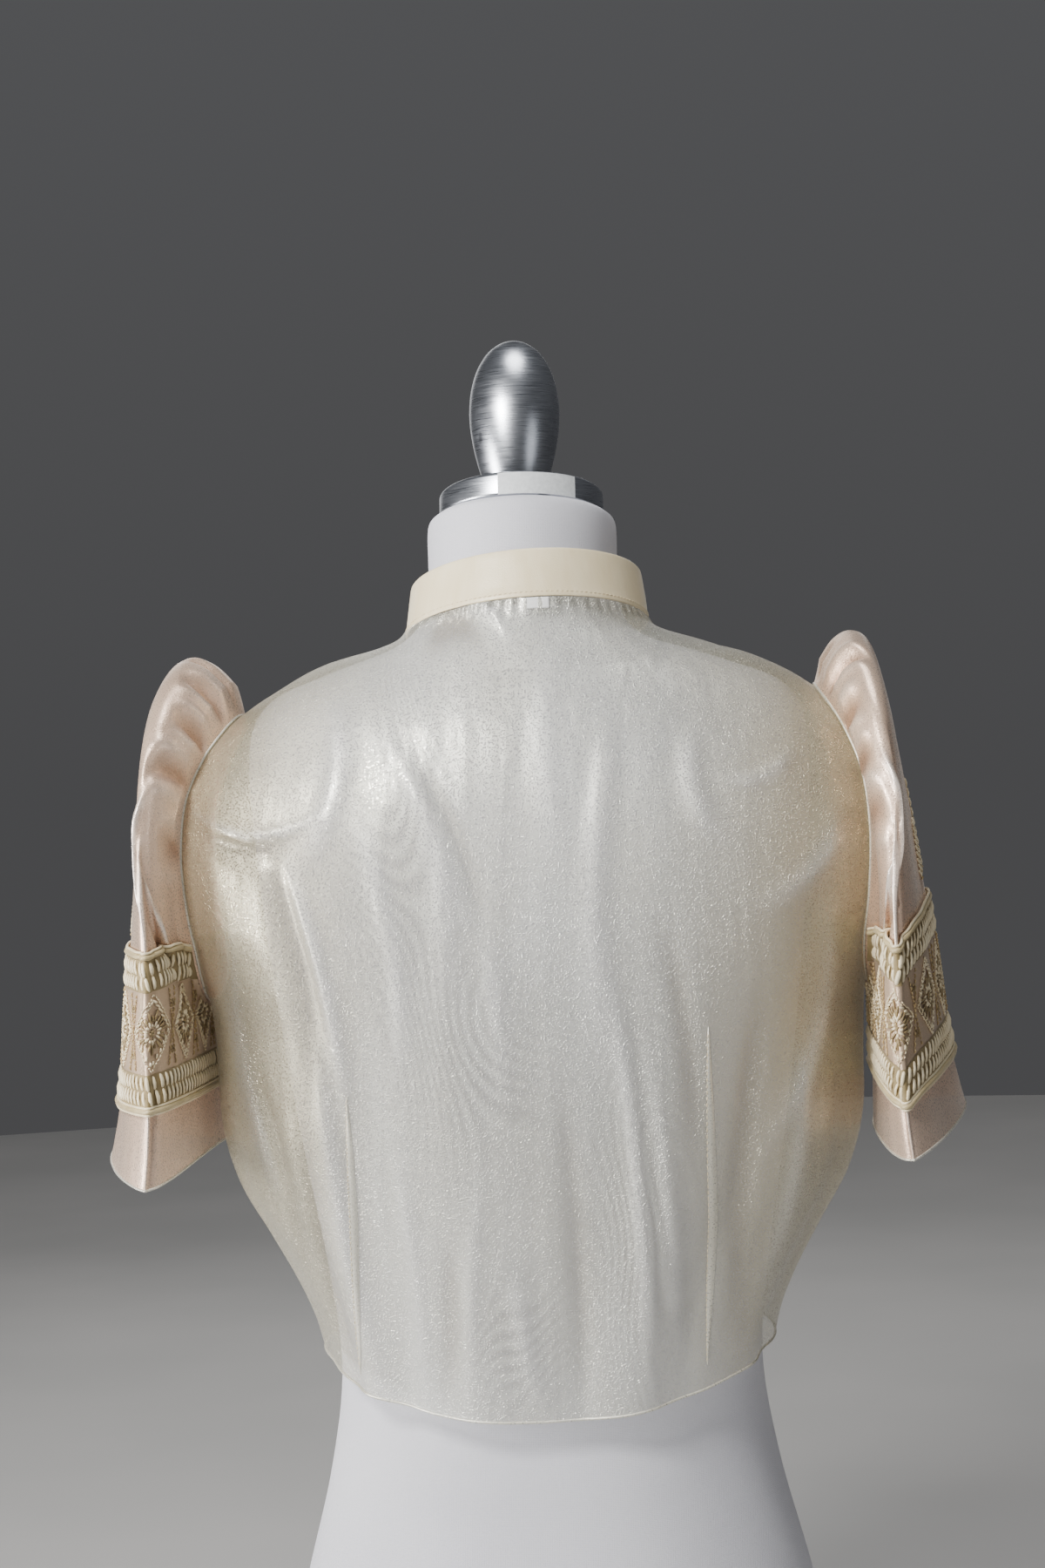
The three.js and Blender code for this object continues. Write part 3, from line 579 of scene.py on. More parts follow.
def organza(name, light, dark, alpha, moire=0.0, side_tint=None, hollow=None, grain=1.0, rough=0.34):
    """Sheer organza: a glittering grain with painted glints in its colour, combed streaks, and painted
    shade in hollows with a painted highlight on ridges.
    """
    s = Shader(name, Alpha=alpha, Metallic=0.5, Sheen_Weight=0.4, Sheen_Roughness=0.35,
               Specular_IOR_Level=0.8, Anisotropic=0.3)
    s.bsdf.inputs["Sheen Tint"].default_value = (1.0, 0.98, 0.94, 1)
    patches = s.noise(14, 3.0, s.stretched(1, 1, 0.35), distortion=0.4)
    color = s.tones(patches, dark, light)
    if side_tint:
        x = s.add("ShaderNodeSeparateXYZ", Vector=s.place).outputs["X"]
        aside = s.ramp(s.math("MULTIPLY", s.math("ABSOLUTE", x), 5.0), (0.4, 0.0), (0.95, 0.85))
        color = s.mix(aside, color, side_tint)
    if moire:
        color = s.mix(watered(s, moire), color, tuple(c * 0.55 for c in dark))
    # Painted shade: the colour goes toward the hollow colour in hollows. Painted highlight: it goes
    # toward the ridge colour on ridges.
    if hollow:
        relief = s.add("ShaderNodeAttribute", {"attribute_name": "relief"}).outputs["Fac"]
        for share, tone in ((-1.0, hollow), (0.7, RIDGE_HIGHLIGHT)):
            color = s.mix(s.math("MAXIMUM", s.math("MULTIPLY", relief, share), 0.0), color, tone)
    glitter = s.ramp(s.noise(1150, 0.0), (0.5, 0.0), (0.68, 1.0))
    streaks = s.noise(46, 2.0, s.stretched(1, 1, 0.07), distortion=0.3)
    # A fine grain in the colour, lighter on the glitter specks as painted glints.
    color = s.mix(0.22 * grain, color, s.ramp(glitter, (0.0, 0.72), (1.0, 1.0)), "MULTIPLY")
    dull = s.tones(streaks, rough + 0.14, rough)
    roughness = s.mix(glitter, dull, (rough - 0.14 * grain,) * 3)
    combed = s.bump(streaks, 0.0022 * grain, 0.8)
    return s.finish(color, roughness, s.bump(glitter, 0.0004 * grain**2, 0.6, combed))


# The watered rings: how dense they are, how strong away from the patches, and where they show: the
# centre (x, z) and reach of each patch, in millimetres.
MOIRE_RINGS = 300.0
MOIRE_EVERYWHERE = 0.03
MOIRE_PATCHES = [((26, 522), (32, 46)), ((10, 378), (24, 36)), ((60, 640), (26, 90)),
                 ((-58, 440), (22, 80))]


def watered(s, strength):
    """The rings that two sheer layers make where they almost match, strongest in a few patches."""
    field = s.noise(7.5, 0.6, s.stretched(1.25, 0.2, 0.62), distortion=0.25)
    rings = s.math("SINE", s.math("MULTIPLY", field, MOIRE_RINGS))
    rings = s.math("MULTIPLY", s.math("ADD", rings, 1.0), 0.5)
    parts = s.add("ShaderNodeSeparateXYZ", Vector=s.place)
    mask = MOIRE_EVERYWHERE
    for (x, z), (reach_x, reach_z) in MOIRE_PATCHES:
        dx = s.math("DIVIDE", s.math("SUBTRACT", parts.outputs["X"], x * MM), reach_x * MM)
        dz = s.math("DIVIDE", s.math("SUBTRACT", parts.outputs["Z"], z * MM), reach_z * MM)
        square = s.math("ADD", s.math("MULTIPLY", dx, dx), s.math("MULTIPLY", dz, dz))
        near = s.math("POWER", math.e, s.math("MULTIPLY", square, -1.0))
        behind = s.math("GREATER_THAN", parts.outputs["Y"], 0.0)
        mask = s.math("ADD", s.math("MULTIPLY", near, behind), mask)
    return s.math("MULTIPLY", s.math("MULTIPLY", rings, mask), strength)


def satin(name, light, dark):
    s = Shader(name, Sheen_Weight=0.35, Sheen_Roughness=0.3, Specular_IOR_Level=0.6, Anisotropic=0.4)
    streaks = s.noise(160, 2.0, s.stretched(1, 1, 0.06))
    patches = s.noise(22, 2.0)
    color = s.mix(0.5, s.tones(streaks, dark, light), s.tones(patches, dark, light))
    grain = s.noise(1500, 1.0)
    normal = s.bump(grain, 0.0002, 0.4, s.bump(s.noise(60, 2.0), 0.0006, 0.35))
    return s.finish(color, s.tones(grain, 0.28, 0.42), normal)


def thread(name, light, dark, rough=0.34):
    s = Shader(name, Sheen_Weight=0.3, Specular_IOR_Level=0.65)
    s.bsdf.inputs["Sheen Tint"].default_value = (1.0, 0.95, 0.82, 1)
    strands = s.noise(900, 2.0)
    tone = s.noise(90, 1.0)
    color = s.mix(0.45, s.tones(tone, dark, light), s.tones(strands, dark, light, end=0.75))
    roughness = s.tones(strands, rough - 0.06, rough + 0.14)
    return s.finish(color, roughness, s.bump(strands, 0.0003, 0.6))


def jersey(name, light, dark):
    """Matt stretch jersey: fine knit columns, slightly uneven."""
    s = Shader(name, Sheen_Weight=0.25, Sheen_Roughness=0.6, Specular_IOR_Level=0.2)
    patches = s.noise(9, 3.0)
    fuzz = s.noise(700, 2.0)
    color = s.mix(0.25, s.tones(patches, dark, light), s.tones(fuzz, dark, light))
    rows = s.math("MULTIPLY", s.wave(330, "X", 1.5, 3.0), s.wave(430, "Z", 1.0, 3.0))
    normal = s.bump(fuzz, 0.0003, 0.5, s.bump(rows, 0.0003, 0.4))
    return s.finish(color, s.tones(fuzz, 0.78, 0.92), normal)


def brushed(name, light, dark, rough, smudges=0.0):
    """Metal brushed round its axis, with a few dull marks."""
    s = Shader(name, Metallic=1.0, Anisotropic=0.35)
    streaks = s.noise(170, 3.0, s.stretched(0.4, 0.4, 16))
    color = s.ramp(streaks, (0.25, dark), (0.75, light))
    if smudges:
        marks = s.ramp(s.noise(38, 2.0, distortion=0.6), (0.66, 0.0), (0.74, smudges))
        color = s.mix(marks, color, tuple(c * 0.45 for c in dark))
    roughness = s.tones(streaks, rough - 0.05, rough + 0.07)
    return s.finish(color, roughness, s.bump(streaks, 0.00005, 0.4))


def paper(name, light, dark):
    s = Shader(name, Specular_IOR_Level=0.25)
    fibres = s.noise(500, 3.0)
    normal = s.bump(fibres, 0.0001, 0.5)
    return s.finish(s.tones(fibres, dark, light), s.tones(fibres, 0.6, 0.8), normal)


def floor_paint(name, light, dark):
    s = Shader(name, Specular_IOR_Level=0.15)
    blotches = s.noise(3, 2.0)
    normal = s.bump(s.noise(400, 1.0), 0.0002, 0.3)
    return s.finish(s.tones(blotches, dark, light), s.tones(blotches, 0.82, 0.9), normal)


IVORY, IVORY_SHADE, STRAW = (0.9, 0.9, 0.83), (0.76, 0.74, 0.63), (0.82, 0.71, 0.46)
# Painted shade for the hollows of the body cloth.
IVORY_HOLLOW_SHADE = (0.5, 0.46, 0.36)
BODY_CLOTH = organza("organza", IVORY, IVORY_SHADE, 0.55, moire=0.6, side_tint=STRAW,
                     hollow=IVORY_HOLLOW_SHADE)
FRONT_CLOTH = organza("organza_front", IVORY, IVORY_SHADE, 0.55, moire=0.15, side_tint=STRAW,
                      hollow=IVORY_HOLLOW_SHADE)
HEM_CLOTH = organza("organza_hem", (0.92, 0.9, 0.82), (0.8, 0.77, 0.66), 0.9, grain=0.5)
SEAM_CLOTH = organza("organza_seam", (0.76, 0.66, 0.48), (0.6, 0.5, 0.35), 0.9, grain=0.5)
# The sleeves' hollow colour is painted shade in their tucks and hollow creases.
SLEEVE_CLOTH = organza("sleeve_organza", (0.92, 0.72, 0.58), (0.8, 0.6, 0.46), 0.86, grain=0.4,
                       rough=0.3, hollow=(0.58, 0.39, 0.28))
BAND_CLOTH = organza("band_organza", (0.74, 0.58, 0.44), (0.58, 0.45, 0.33), 0.96, grain=0.5,
                     rough=0.42)
COLLAR_SATIN = satin("collar_satin", (0.92, 0.82, 0.61), (0.82, 0.71, 0.48))
CREAM_THREAD = thread("cream_thread", (0.93, 0.84, 0.64), (0.76, 0.65, 0.44))
OLIVE_THREAD = thread("olive_thread", (0.64, 0.54, 0.34), (0.48, 0.39, 0.22))
# An olive ground, kept dark as painted shade between the slanted stitches.
BAND_GROUND_SHADE = thread("band_ground_shade", (0.36, 0.28, 0.15), (0.26, 0.2, 0.1), rough=0.62)
GOLD_THREAD = thread("gold_thread", (0.6, 0.47, 0.27), (0.42, 0.31, 0.16))
DARK_THREAD = thread("dark_thread", (0.42, 0.32, 0.17), (0.27, 0.2, 0.1))
FORM_JERSEY = jersey("form_jersey", (0.71, 0.71, 0.75), (0.63, 0.63, 0.68))
CAP_METAL = brushed("cap_metal", (0.62, 0.64, 0.68), (0.42, 0.44, 0.48), 0.3, smudges=0.8)
STAND_METAL = brushed("stand_metal", (0.5, 0.51, 0.53), (0.36, 0.37, 0.39), 0.36)
TAPE_PAPER = paper("tape_paper", (0.74, 0.76, 0.77), (0.64, 0.66, 0.67))
LABEL_TAPE = paper("label_tape", (0.93, 0.93, 0.91), (0.84, 0.84, 0.82))
FLOOR = floor_paint("floor", (0.62, 0.61, 0.6), (0.58, 0.575, 0.565))


# ---- Jacket body ---------------------------------------------------------------------------------
def side_edge(row, armhole_angle):
    """The angle from the side line at which a panel starts: the seam, or the edge of the armhole."""
    top, bottom = ARMHOLE["top"], ARMHOLE["bottom"]
    across = np.clip((2 * row - top - bottom) / (bottom - top), -1, 1)
    seam = (SEAM_GAP / 2 / along(BODY_RINGS, "yb", row)) ** (1 / along(BODY_RINGS, "round", row))
    return np.maximum(seam, armhole_angle * np.sqrt(1 - across**2))


def armhole_rows(count, endpoint=True):
    """Rows beside the armhole, closer together at its top and bottom."""
    share = np.linspace(0, 1, count, endpoint=endpoint)
    return lerp(ARMHOLE["top"], ARMHOLE["bottom"], (1 - np.cos(math.pi * share)) / 2)


def panel_rows(count):
    """Rows from neckline to hem, closer together where the armhole starts and ends."""
    third = count // 3
    above = np.linspace(0, ARMHOLE["top"], third, endpoint=False)
    below = np.linspace(ARMHOLE["bottom"], HEM_ROW, third)
    return np.concatenate([above, armhole_rows(third, endpoint=False), below])


def back_point(u, row):
    edge = side_edge(row, ARMHOLE["back"])
    return body_point(lerp(edge, math.pi - edge, u), row)


def front_point(u, v, side):
    corner = smoothstep(u, 0.55, 1) ** 2
    row = v * (1 - (0.16 * corner * v) / HEM_ROW)
    edge = side_edge(row, ARMHOLE["front"])
    opening = COLLAR_END_GAP / 2 + FRONT_OPENING * smoothstep(row, 0, HEM_ROW * 0.85)
    half, squareness = along(BODY_RINGS, "half", row), along(BODY_RINGS, "round", row)
    open_angle = np.arccos((opening / half) ** (1 / squareness))
    angle = -lerp(edge, open_angle, u)
    return body_point(angle if side > 0 else math.pi - angle, row)


def add_back():
    u, row = np.meshgrid(np.linspace(0, 1, 231), panel_rows(186))
    points = back_point(u, row)
    piece = sheet_object("back_cloth", points, BODY_CLOTH, relief=body_relief(points))
    return declare(piece, "back", slot="organza")


def add_front(name, side):
    u, row = np.meshgrid(np.linspace(0, 1, 81), panel_rows(150))
    points = front_point(u, row, side)
    piece = sheet_object(f"{name}_cloth", points, FRONT_CLOTH, flip=side < 0,
                         relief=body_relief(points))
    return declare(piece, name, slot="organza")


EDGE_RADIUS = {"hem": 0.75, "armhole": 0.5, "sleeve_hem": 0.7}


def add_body_edges():
    """Narrow rolled hems along the lower edges, the front edges and the armholes."""
    u = np.linspace(0, 1, 260)
    hem = np.full(u.shape, HEM_ROW - 0.03)
    beside = armhole_rows(120)
    down = np.linspace(0.05, HEM_ROW - 0.03, 200)
    hems = [back_point(u, hem)]
    seams = [back_point(np.full(beside.shape, end), beside) for end in (0.0, 1.0)]
    for side in (1, -1):
        hems.append(front_point(u, hem, side))
        hems.append(front_point(np.ones(down.shape), down, side))
        seams.append(front_point(np.zeros(beside.shape), beside, side))
    hems = [(path, EDGE_RADIUS["hem"], False) for path in hems]
    seams = [(path, EDGE_RADIUS["armhole"], False) for path in seams]
    declare(tubes_object("body_hems", hems, HEM_CLOTH), slot="organza")
    declare(tubes_object("armhole_seams", seams, SEAM_CLOTH), slot="organza")


# Waist darts on the back: the top, middle and foot as x and z, and the width in the middle.
DARTS = [
    dict(x=(-99, -97.5, -91), z=(545, 443, 360), width=4.6),
    dict(x=(97, 96.5, 98), z=(513, 448, 358), width=4.2),
]


def back_finder():
    """Finds the point of the back cloth at x and z, with the direction outward, from a grid of it."""
    u, row = np.meshgrid(np.linspace(0.02, 0.98, 161), np.linspace(0.2, HEM_ROW, 181))
    points = back_point(u, row)
    normals = -grid_normals(points)
    flat, flat_normals = points.reshape(-1, 3), normals.reshape(-1, 3)

    def find(x, z):
        x, z = np.broadcast_arrays(np.asarray(x, float), np.asarray(z, float))
        out, outward = [], []
        for px, pz in zip(x.ravel(), z.ravel()):
            d = (flat[:, 0] - px) ** 2 + (flat[:, 2] - pz) ** 2
            near = np.argsort(d)[:4]
            weight = 1 / (d[near] + 0.01)
            weight /= weight.sum()
            y = (flat[near, 1] * weight).sum()
            out.append((px, y, pz))
            outward.append((flat_normals[near] * weight[:, None]).sum(axis=0))
        return np.array(out).reshape(*x.shape, 3), unit(np.array(outward).reshape(*x.shape, 3))

    return find


def add_darts():
    """Each dart is a lens of doubled cloth with a row of small stitches down one side."""
    on_back = back_finder()
    pieces, stitches = [], []
    for n, dart in enumerate(DARTS):
        t = np.linspace(0, 1, 60)
        x = np.interp(t, [0, 0.5, 1], dart["x"])
        z = np.interp(t, [0, 0.5, 1], dart["z"])
        half = dart["width"] / 2 * np.sin(math.pi * t) ** 0.8 + 0.15
        across = np.linspace(-1, 1, 5)
        points, outward = on_back(x[:, None] + half[:, None] * across, z[:, None] + 0 * across)
        swell = (0.5 + 0.5 * (1 - across**2))[None, :, None]
        piece = sheet_object(f"dart_{n + 1}", points + outward * swell, HEM_CLOTH)
        pieces.append(declare(piece, slot="organza"))
        for start in np.arange(0.02, 0.98, 0.0165):
            tt = np.array([start, start + 0.0105])
            sx = np.interp(tt, t, x + half)
            ends, normal = on_back(sx, np.interp(tt, t, z))
            stitches.append((*(ends + normal * 0.6), normal[0], 0.5, 0.4, 0))
    declare(stitches_object("dart_stitches", stitches, [CREAM_THREAD]), slot="organza")
    return pieces


# ---- Collar --------------------------------------------------------------------------------------
COLLAR_HALF = BODY_RINGS["half"][0]
COLLAR_END = math.asin(COLLAR_END_GAP / 2 / COLLAR_HALF)
COLLAR_START = -math.pi / 2 + COLLAR_END
COLLAR_SWEEP = TURN - 2 * COLLAR_END


def collar_surface(u, up):
    angle = COLLAR_START + COLLAR_SWEEP * u
    foot = body_point(angle, np.zeros(np.shape(angle)), creased=False)
    narrow = 1 - COLLAR_TAPER * up / COLLAR_HEIGHT
    rise = (up + SEAM_GAP) / math.hypot(1, COLLAR_LEAN)
    x = foot[..., 0] * narrow
    y = foot[..., 1] * narrow - rise * COLLAR_LEAN
    return np.stack([x, y, foot[..., 2] + rise], axis=-1)


def collar_height(u):
    from_end = np.minimum(u, 1 - u) * COLLAR_SWEEP * COLLAR_HALF
    in_corner = np.minimum(np.maximum(0, COLLAR_CORNER - from_end), COLLAR_CORNER)
    return COLLAR_HEIGHT - COLLAR_CORNER + np.sqrt(COLLAR_CORNER**2 - in_corner**2)


def collar_outward(u):
    angle = COLLAR_START + COLLAR_SWEEP * u
    return np.stack([np.cos(angle), np.sin(angle), np.full(np.shape(angle), -0.05)], axis=-1)


def add_collar():
    """A stiff folded band: a loop of points round its wall, swept round the neck."""
    corner = np.array([0, 0.001, 0.003, 0.006, 0.01, 0.015, 0.022])
    u = np.concatenate([corner, np.linspace(0.03, 0.97, 190), (1 - corner)[::-1]])
    up_share = np.array([0.012, 0.03, 0.1, 0.14, 0.3, 0.5, 0.7, 0.85, 0.95, 0.985, 1.0,
                         1.0, 0.985, 0.9, 0.6, 0.3, 0.03, 0.0])
    half_wall = COLLAR_WALL / 2
    out = np.array([0.7, 0.95, 1.0, 0.82, 1.05, 1.1, 1.08, 1.0, 0.95, 0.75, 0.35,
                    -0.35, -0.75, -1, -1, -1, -0.9, 0.0]) * half_wall - half_wall
    height = collar_height(u)
    uu, share = np.meshgrid(u, up_share, indexing="ij")
    base = collar_surface(uu, share * height[:, None])
    ripple = 0.25 * np.sin(uu * 37) * np.sin(math.pi * share)
    points = base + collar_outward(uu) * (out[None, :] + ripple)[..., None]
    rows, columns = points.shape[:2]
    faces = grid_faces(rows, columns, closed=True)
    faces.append(list(range(columns)))
    faces.append([(rows - 1) * columns + i for i in range(columns)][::-1])
    declare(new_object("collar_band", points, faces, [COLLAR_SATIN]), "collar", slot="collar_satin")


COLLAR_STITCH = {"up": 3.0, "length": 1.9, "pitch": 2.9}


def add_collar_stitches():
    stitches = []
    around = COLLAR_SWEEP * COLLAR_HALF
    count = int(around / COLLAR_STITCH["pitch"])
    for i in range(2, count - 1):
        u = np.array([i, i + COLLAR_STITCH["length"] / COLLAR_STITCH["pitch"]]) / count
        ends = collar_surface(u, np.full(2, COLLAR_STITCH["up"]))
        normal = collar_outward(u)
        stitches.append((*(ends + normal * 0.02), normal[0], 0.5, 0.45, 0))
    declare(stitches_object("collar_stitches", stitches, [CREAM_THREAD]), slot="collar_satin")


LABEL = {"start": 93, "end": 105, "top": 0.02, "bottom": 0.62, "outside": 0.25, "inside": 0.2}


def add_label():
    """A blank woven tape under the collar, seen through the cloth."""
    angle, row = np.meshgrid(np.radians(np.linspace(LABEL["start"], LABEL["end"], 15)),
                             np.linspace(LABEL["top"], LABEL["bottom"], 9))
    outer = body_point(angle, row, creased=False)
    normal = -grid_normals(outer)
    front = outer + normal * LABEL["outside"]
    behind = outer - normal * LABEL["inside"]
    rows, columns = front.shape[:2]
    size = rows * columns
    faces = grid_faces(rows, columns) + [f[::-1] for f in grid_faces(rows, columns, start=size)]
    place = np.arange(size).reshape(rows, columns)
    rim = [*place[0, :-1], *place[:-1, -1], *place[-1, :0:-1], *place[:0:-1, 0]]
    for a, b in zip(rim, rim[1:] + rim[:1]):
        faces.append([int(v) for v in (b, a, a + size, b + size)])
    piece = new_object("label_tape", np.stack([front, behind]), faces, [LABEL_TAPE])
    declare(piece, "neck_label", slot="label_tape")


# ---- Sleeves -------------------------------------------------------------------------------------
def armhole_point(angle, side):
    top, bottom = ARMHOLE["top"], ARMHOLE["bottom"]
    row = (top + bottom) / 2 - (bottom - top) / 2 * np.cos(angle)
    s = np.sin(angle)
    aside = np.where(s >= 0, ARMHOLE["back"], ARMHOLE["front"]) * s
    step = 1e-3

    def body(u, v):
        return body_point(u if side > 0 else math.pi - u, v, creased=False)

    across = body(aside + step, row) - body(aside - step, row)
    down = body(aside, row + step) - body(aside, row - step)
    normal = unit(np.cross(across, down)) * -side
    return body(aside, row) + normal * ARMHOLE["gap"]


def outer_rise(c, side):
    return OUTER_RISE[side] * (0.5 + 0.5 * c)


def sleeve_ring(angle, row, side):
    """The plain surface of a sleeve: row 0 is its armhole edge and angle 0 its top."""
    out, out_z, inn, inn_z, depth, pinch, bulge, sag = (
        along(SLEEVE_RINGS, name, np.maximum(row, 1) - 1) for name in SLEEVE_RINGS)
    c = signed_power(np.cos(angle), pinch)
    s = np.sin(angle)
    bulge = bulge + np.where(s < 0, SLEEVE_FRONT_BULGE * (1 - smoothstep(row, 1, 3)), 0)
    x = side * ((out + inn) / 2 + (out - inn) / 2 * c + bulge * s**2)
    x = x + SLEEVE_TILT * (0.5 + 0.5 * c) * smoothstep(row, 0, 3)
    y = SLEEVE_CENTRE_Y + depth * s
    z = (out_z + inn_z) / 2 + (out_z - inn_z) / 2 * c
    z = z + outer_rise(c, side) * smoothstep(row, 5, 9) - sag * s**2
    ring = np.stack([x, y, z], axis=-1)
    at_seam = 1 - np.clip(row, 0, 1)
    return lerp(ring, armhole_point(angle, side), at_seam[..., None])


def angle_from(angle, degrees):
    """Signed difference in degrees between an angle and a place round the sleeve."""
    return (np.degrees(angle) - degrees + 180) % 360 - 180


def tuck_depth(angle, row, side):
    depth = np.zeros(angle.shape)
    for n, (place, width, deep) in enumerate(TUCKS[side]):
        reach = 3.0 + 0.7 * math.sin(2.3 * n + side)
        lengthwise = np.sin(math.pi * np.clip(row / reach, 0, 1)) ** 1.3
        aside = angle_from(angle, place) / width
        lips = np.exp(-2 * aside**2) - 0.22 * np.exp(-((np.abs(aside) - 1.5) / 0.5) ** 2)
        depth += deep * lips * lengthwise
    return depth


def sleeve_crease(angle, row, side):
    height = np.zeros(angle.shape)
    for top, foot, first, last, width, rise in SLEEVE_CREASES[side]:
        t = (row - first) / (last - first)
        aside = angle_from(angle, 0) - lerp(top, foot, np.clip(t, 0, 1))
        tail = 0.6 if last > 10 else 1
        fade = smoothstep(t, -0.1, 0.25) * (1 - tail * smoothstep(t, 0.7, 1.05))
        height += rise * np.exp(-((aside / width) ** 2)) * fade
    return height


def sleeve_point(angle, row, side):
    p = sleeve_ring(angle, row, side)
    centre = np.array([side * ARM_CENTRE[0], SLEEVE_CENTRE_Y, ARM_CENTRE[1]])
    inward = unit(centre - p)
    return p + inward * tuck_depth(angle, row, side)[..., None]


def sleeve_angles(count):
    """Angles round a sleeve, closer together at its top and back."""
    t = np.arange(count) / count
    return TURN * t + SLEEVE_CROWDING * np.sin(TURN * 2 * t)


def sleeve_grid(side, angles, rows, closed):
    """Points and outward directions of the creased cloth at each of some rows and angles."""
    angle, row = np.meshgrid(angles, rows)
    points = sleeve_point(angle, row, side)
    normal = grid_normals(points, closed) * -side
    return points + normal * (0.5 + sleeve_crease(angle, row, side))[..., None], normal


def add_sleeve(name, side):
    rows = np.concatenate([np.linspace(0, 4, 56, endpoint=False), np.linspace(4, SLEEVE_HEM, 72)])
    angles = sleeve_angles(288)
    points, _ = sleeve_grid(side, angles, rows, closed=True)
    angle, row = np.meshgrid(angles, rows)
    # Painted shade in the tucks and hollow creases, and a painted highlight on raised creases, follow
    # this relief.
    relief = sleeve_crease(angle, row, side) / FULL_RIDGE - tuck_depth(angle, row, side) / FULL_TUCK
    piece = sheet_object(f"{name}_cloth", points, SLEEVE_CLOTH, closed=True, flip=side > 0,
                         relief=relief)
    declare(piece, name, slot="sleeve_organza")
    edges = [(points[-1], EDGE_RADIUS["sleeve_hem"], True), (points[0], EDGE_RADIUS["hem"], True)]
    hem = tubes_object(f"{name}_hem", edges, HEM_CLOTH)
    declare(hem, slot="sleeve_organza")
    return piece, hem


# ---- Embroidered bands ---------------------------------------------------------------------------
def between_cells(grid, i, j):
    """Values of a grid at rows i and columns j that need not be whole."""
    i = np.clip(i, 0, grid.shape[0] - 1.001)
    j = np.clip(j, 0, grid.shape[1] - 1.001)
    i0, j0 = np.floor(i).astype(int), np.floor(j).astype(int)
    ti, tj = (i - i0)[..., None], (j - j0)[..., None]
    above = lerp(grid[i0, j0], grid[i0, j0 + 1], tj)
    below = lerp(grid[i0 + 1, j0], grid[i0 + 1, j0 + 1], tj)
    return lerp(above, below, ti)


class BandSurface:
    """The band on its sleeve, addressed by the distance round it from the middle of the outer face,
    toward the back (+) or the front (-), and by the share down it. Its upper part ends at the
    armhole."""

    LEVELS = 41

    def __init__(self, side):
        degrees = np.arange(-180, 181)
        rows = np.linspace(0.3, SLEEVE_HEM, 150)
        points, outward = sleeve_grid(side, np.radians(degrees), rows, closed=False)
        c = np.cos(np.radians(degrees))
        dip_top, dip_foot = BAND_DIP[side]
        near_crease = 1 - np.sqrt(c**2 + 0.01)
        top = BAND["top"] + outer_rise(c, side) - dip_top * near_crease
        foot = BAND["bottom"] + outer_rise(c, side) - dip_foot * near_crease
        halves = {1: [], -1: []}
        for w in np.linspace(0, 1, self.LEVELS):
            above = points[..., 2] - lerp(top, foot, w)
            for toward in (1, -1):
                halves[toward].append(self.level(points, above, toward))
        self.reach = {}
        for toward, levels in halves.items():
            self.reach[toward] = np.array([length[-1] for _, _, length in levels])
        self.columns = int(max(r.max() for r in self.reach.values()) / BAND["step"]) + 1
        self.grid = np.empty((self.LEVELS, 2 * self.columns + 1, 3))
        self.outward = np.empty_like(self.grid)
        distance = np.arange(self.columns + 1) * BAND["step"]
        for toward, levels in halves.items():
            for n, (i, j, length) in enumerate(levels):
                place = np.interp(distance, length, i), np.interp(distance, length, j)
                columns = self.columns + toward * np.arange(self.columns + 1)
                away = unit(between_cells(outward, *place))
                self.outward[n, columns] = away
                self.grid[n, columns] = between_cells(points, *place) + away * BAND["lift"]
        middle = halves[1][self.LEVELS // 2]
        self.crease = float(np.interp(90, np.abs(middle[1] - 180), middle[2]))
        self.height = BAND["top"] - BAND["bottom"]

    @staticmethod
    def level(points, above, toward):
        """Rows, columns and lengths along a level line, from the outer face to underarm or armhole."""
        places = []
        for a in range(181):
            column = above[:, 180 + toward * a]
            higher = np.nonzero(column > 0)[0]
            if not len(higher):
                # From here the line runs up to the armhole and crosses each row once.
                for i in range(int(places[-1][0]), -1, -1):
                    ring = above[i, 180 + toward * np.arange(a - 1, 181)]
                    crossing = np.interp(0, -ring, np.arange(len(ring)))
                    places.append((i, 180 + toward * (a - 1 + crossing)))
                break
            i = higher[-1]
            places.append((i + column[i] / (column[i] - column[i + 1]), 180 + toward * a))
        i, j = np.array(places, float).T
        path = between_cells(points, i, j)
        length = np.concatenate([[0], np.cumsum(np.linalg.norm(np.diff(path, axis=0), axis=1))])
        return i, j, length

    def inside(self, distance, w):
        back, front = self.ends(w)
        return (distance < back - 0.5) & (distance > 0.5 - front)

    def ends(self, w):
        """How far the band reaches toward the back and toward the front, at a share down it."""
        shares = np.linspace(0, 1, self.LEVELS)
        return np.interp(w, shares, self.reach[1]), np.interp(w, shares, self.reach[-1])

    def at(self, distance, w, lift=0.0):
        """Point and outward direction at a distance round and a share down the band."""
        j = np.asarray(distance, float) / BAND["step"] + self.columns
        i = np.clip(np.asarray(w, float), 0, 1) * (self.LEVELS - 1)
        outward = unit(between_cells(self.outward, i, j))
        return between_cells(self.grid, i, j) + outward * lift, outward

    def line(self, w, lift):
        """Points along the whole of a level line."""
        back, front = self.ends(w)
        distance = np.linspace(-front, back, 360)
        return self.at(distance, np.full(distance.shape, w), lift)[0]


THREADS = [CREAM_THREAD, GOLD_THREAD, DARK_THREAD]
CREAM, GOLD, DARK = 0, 1, 2


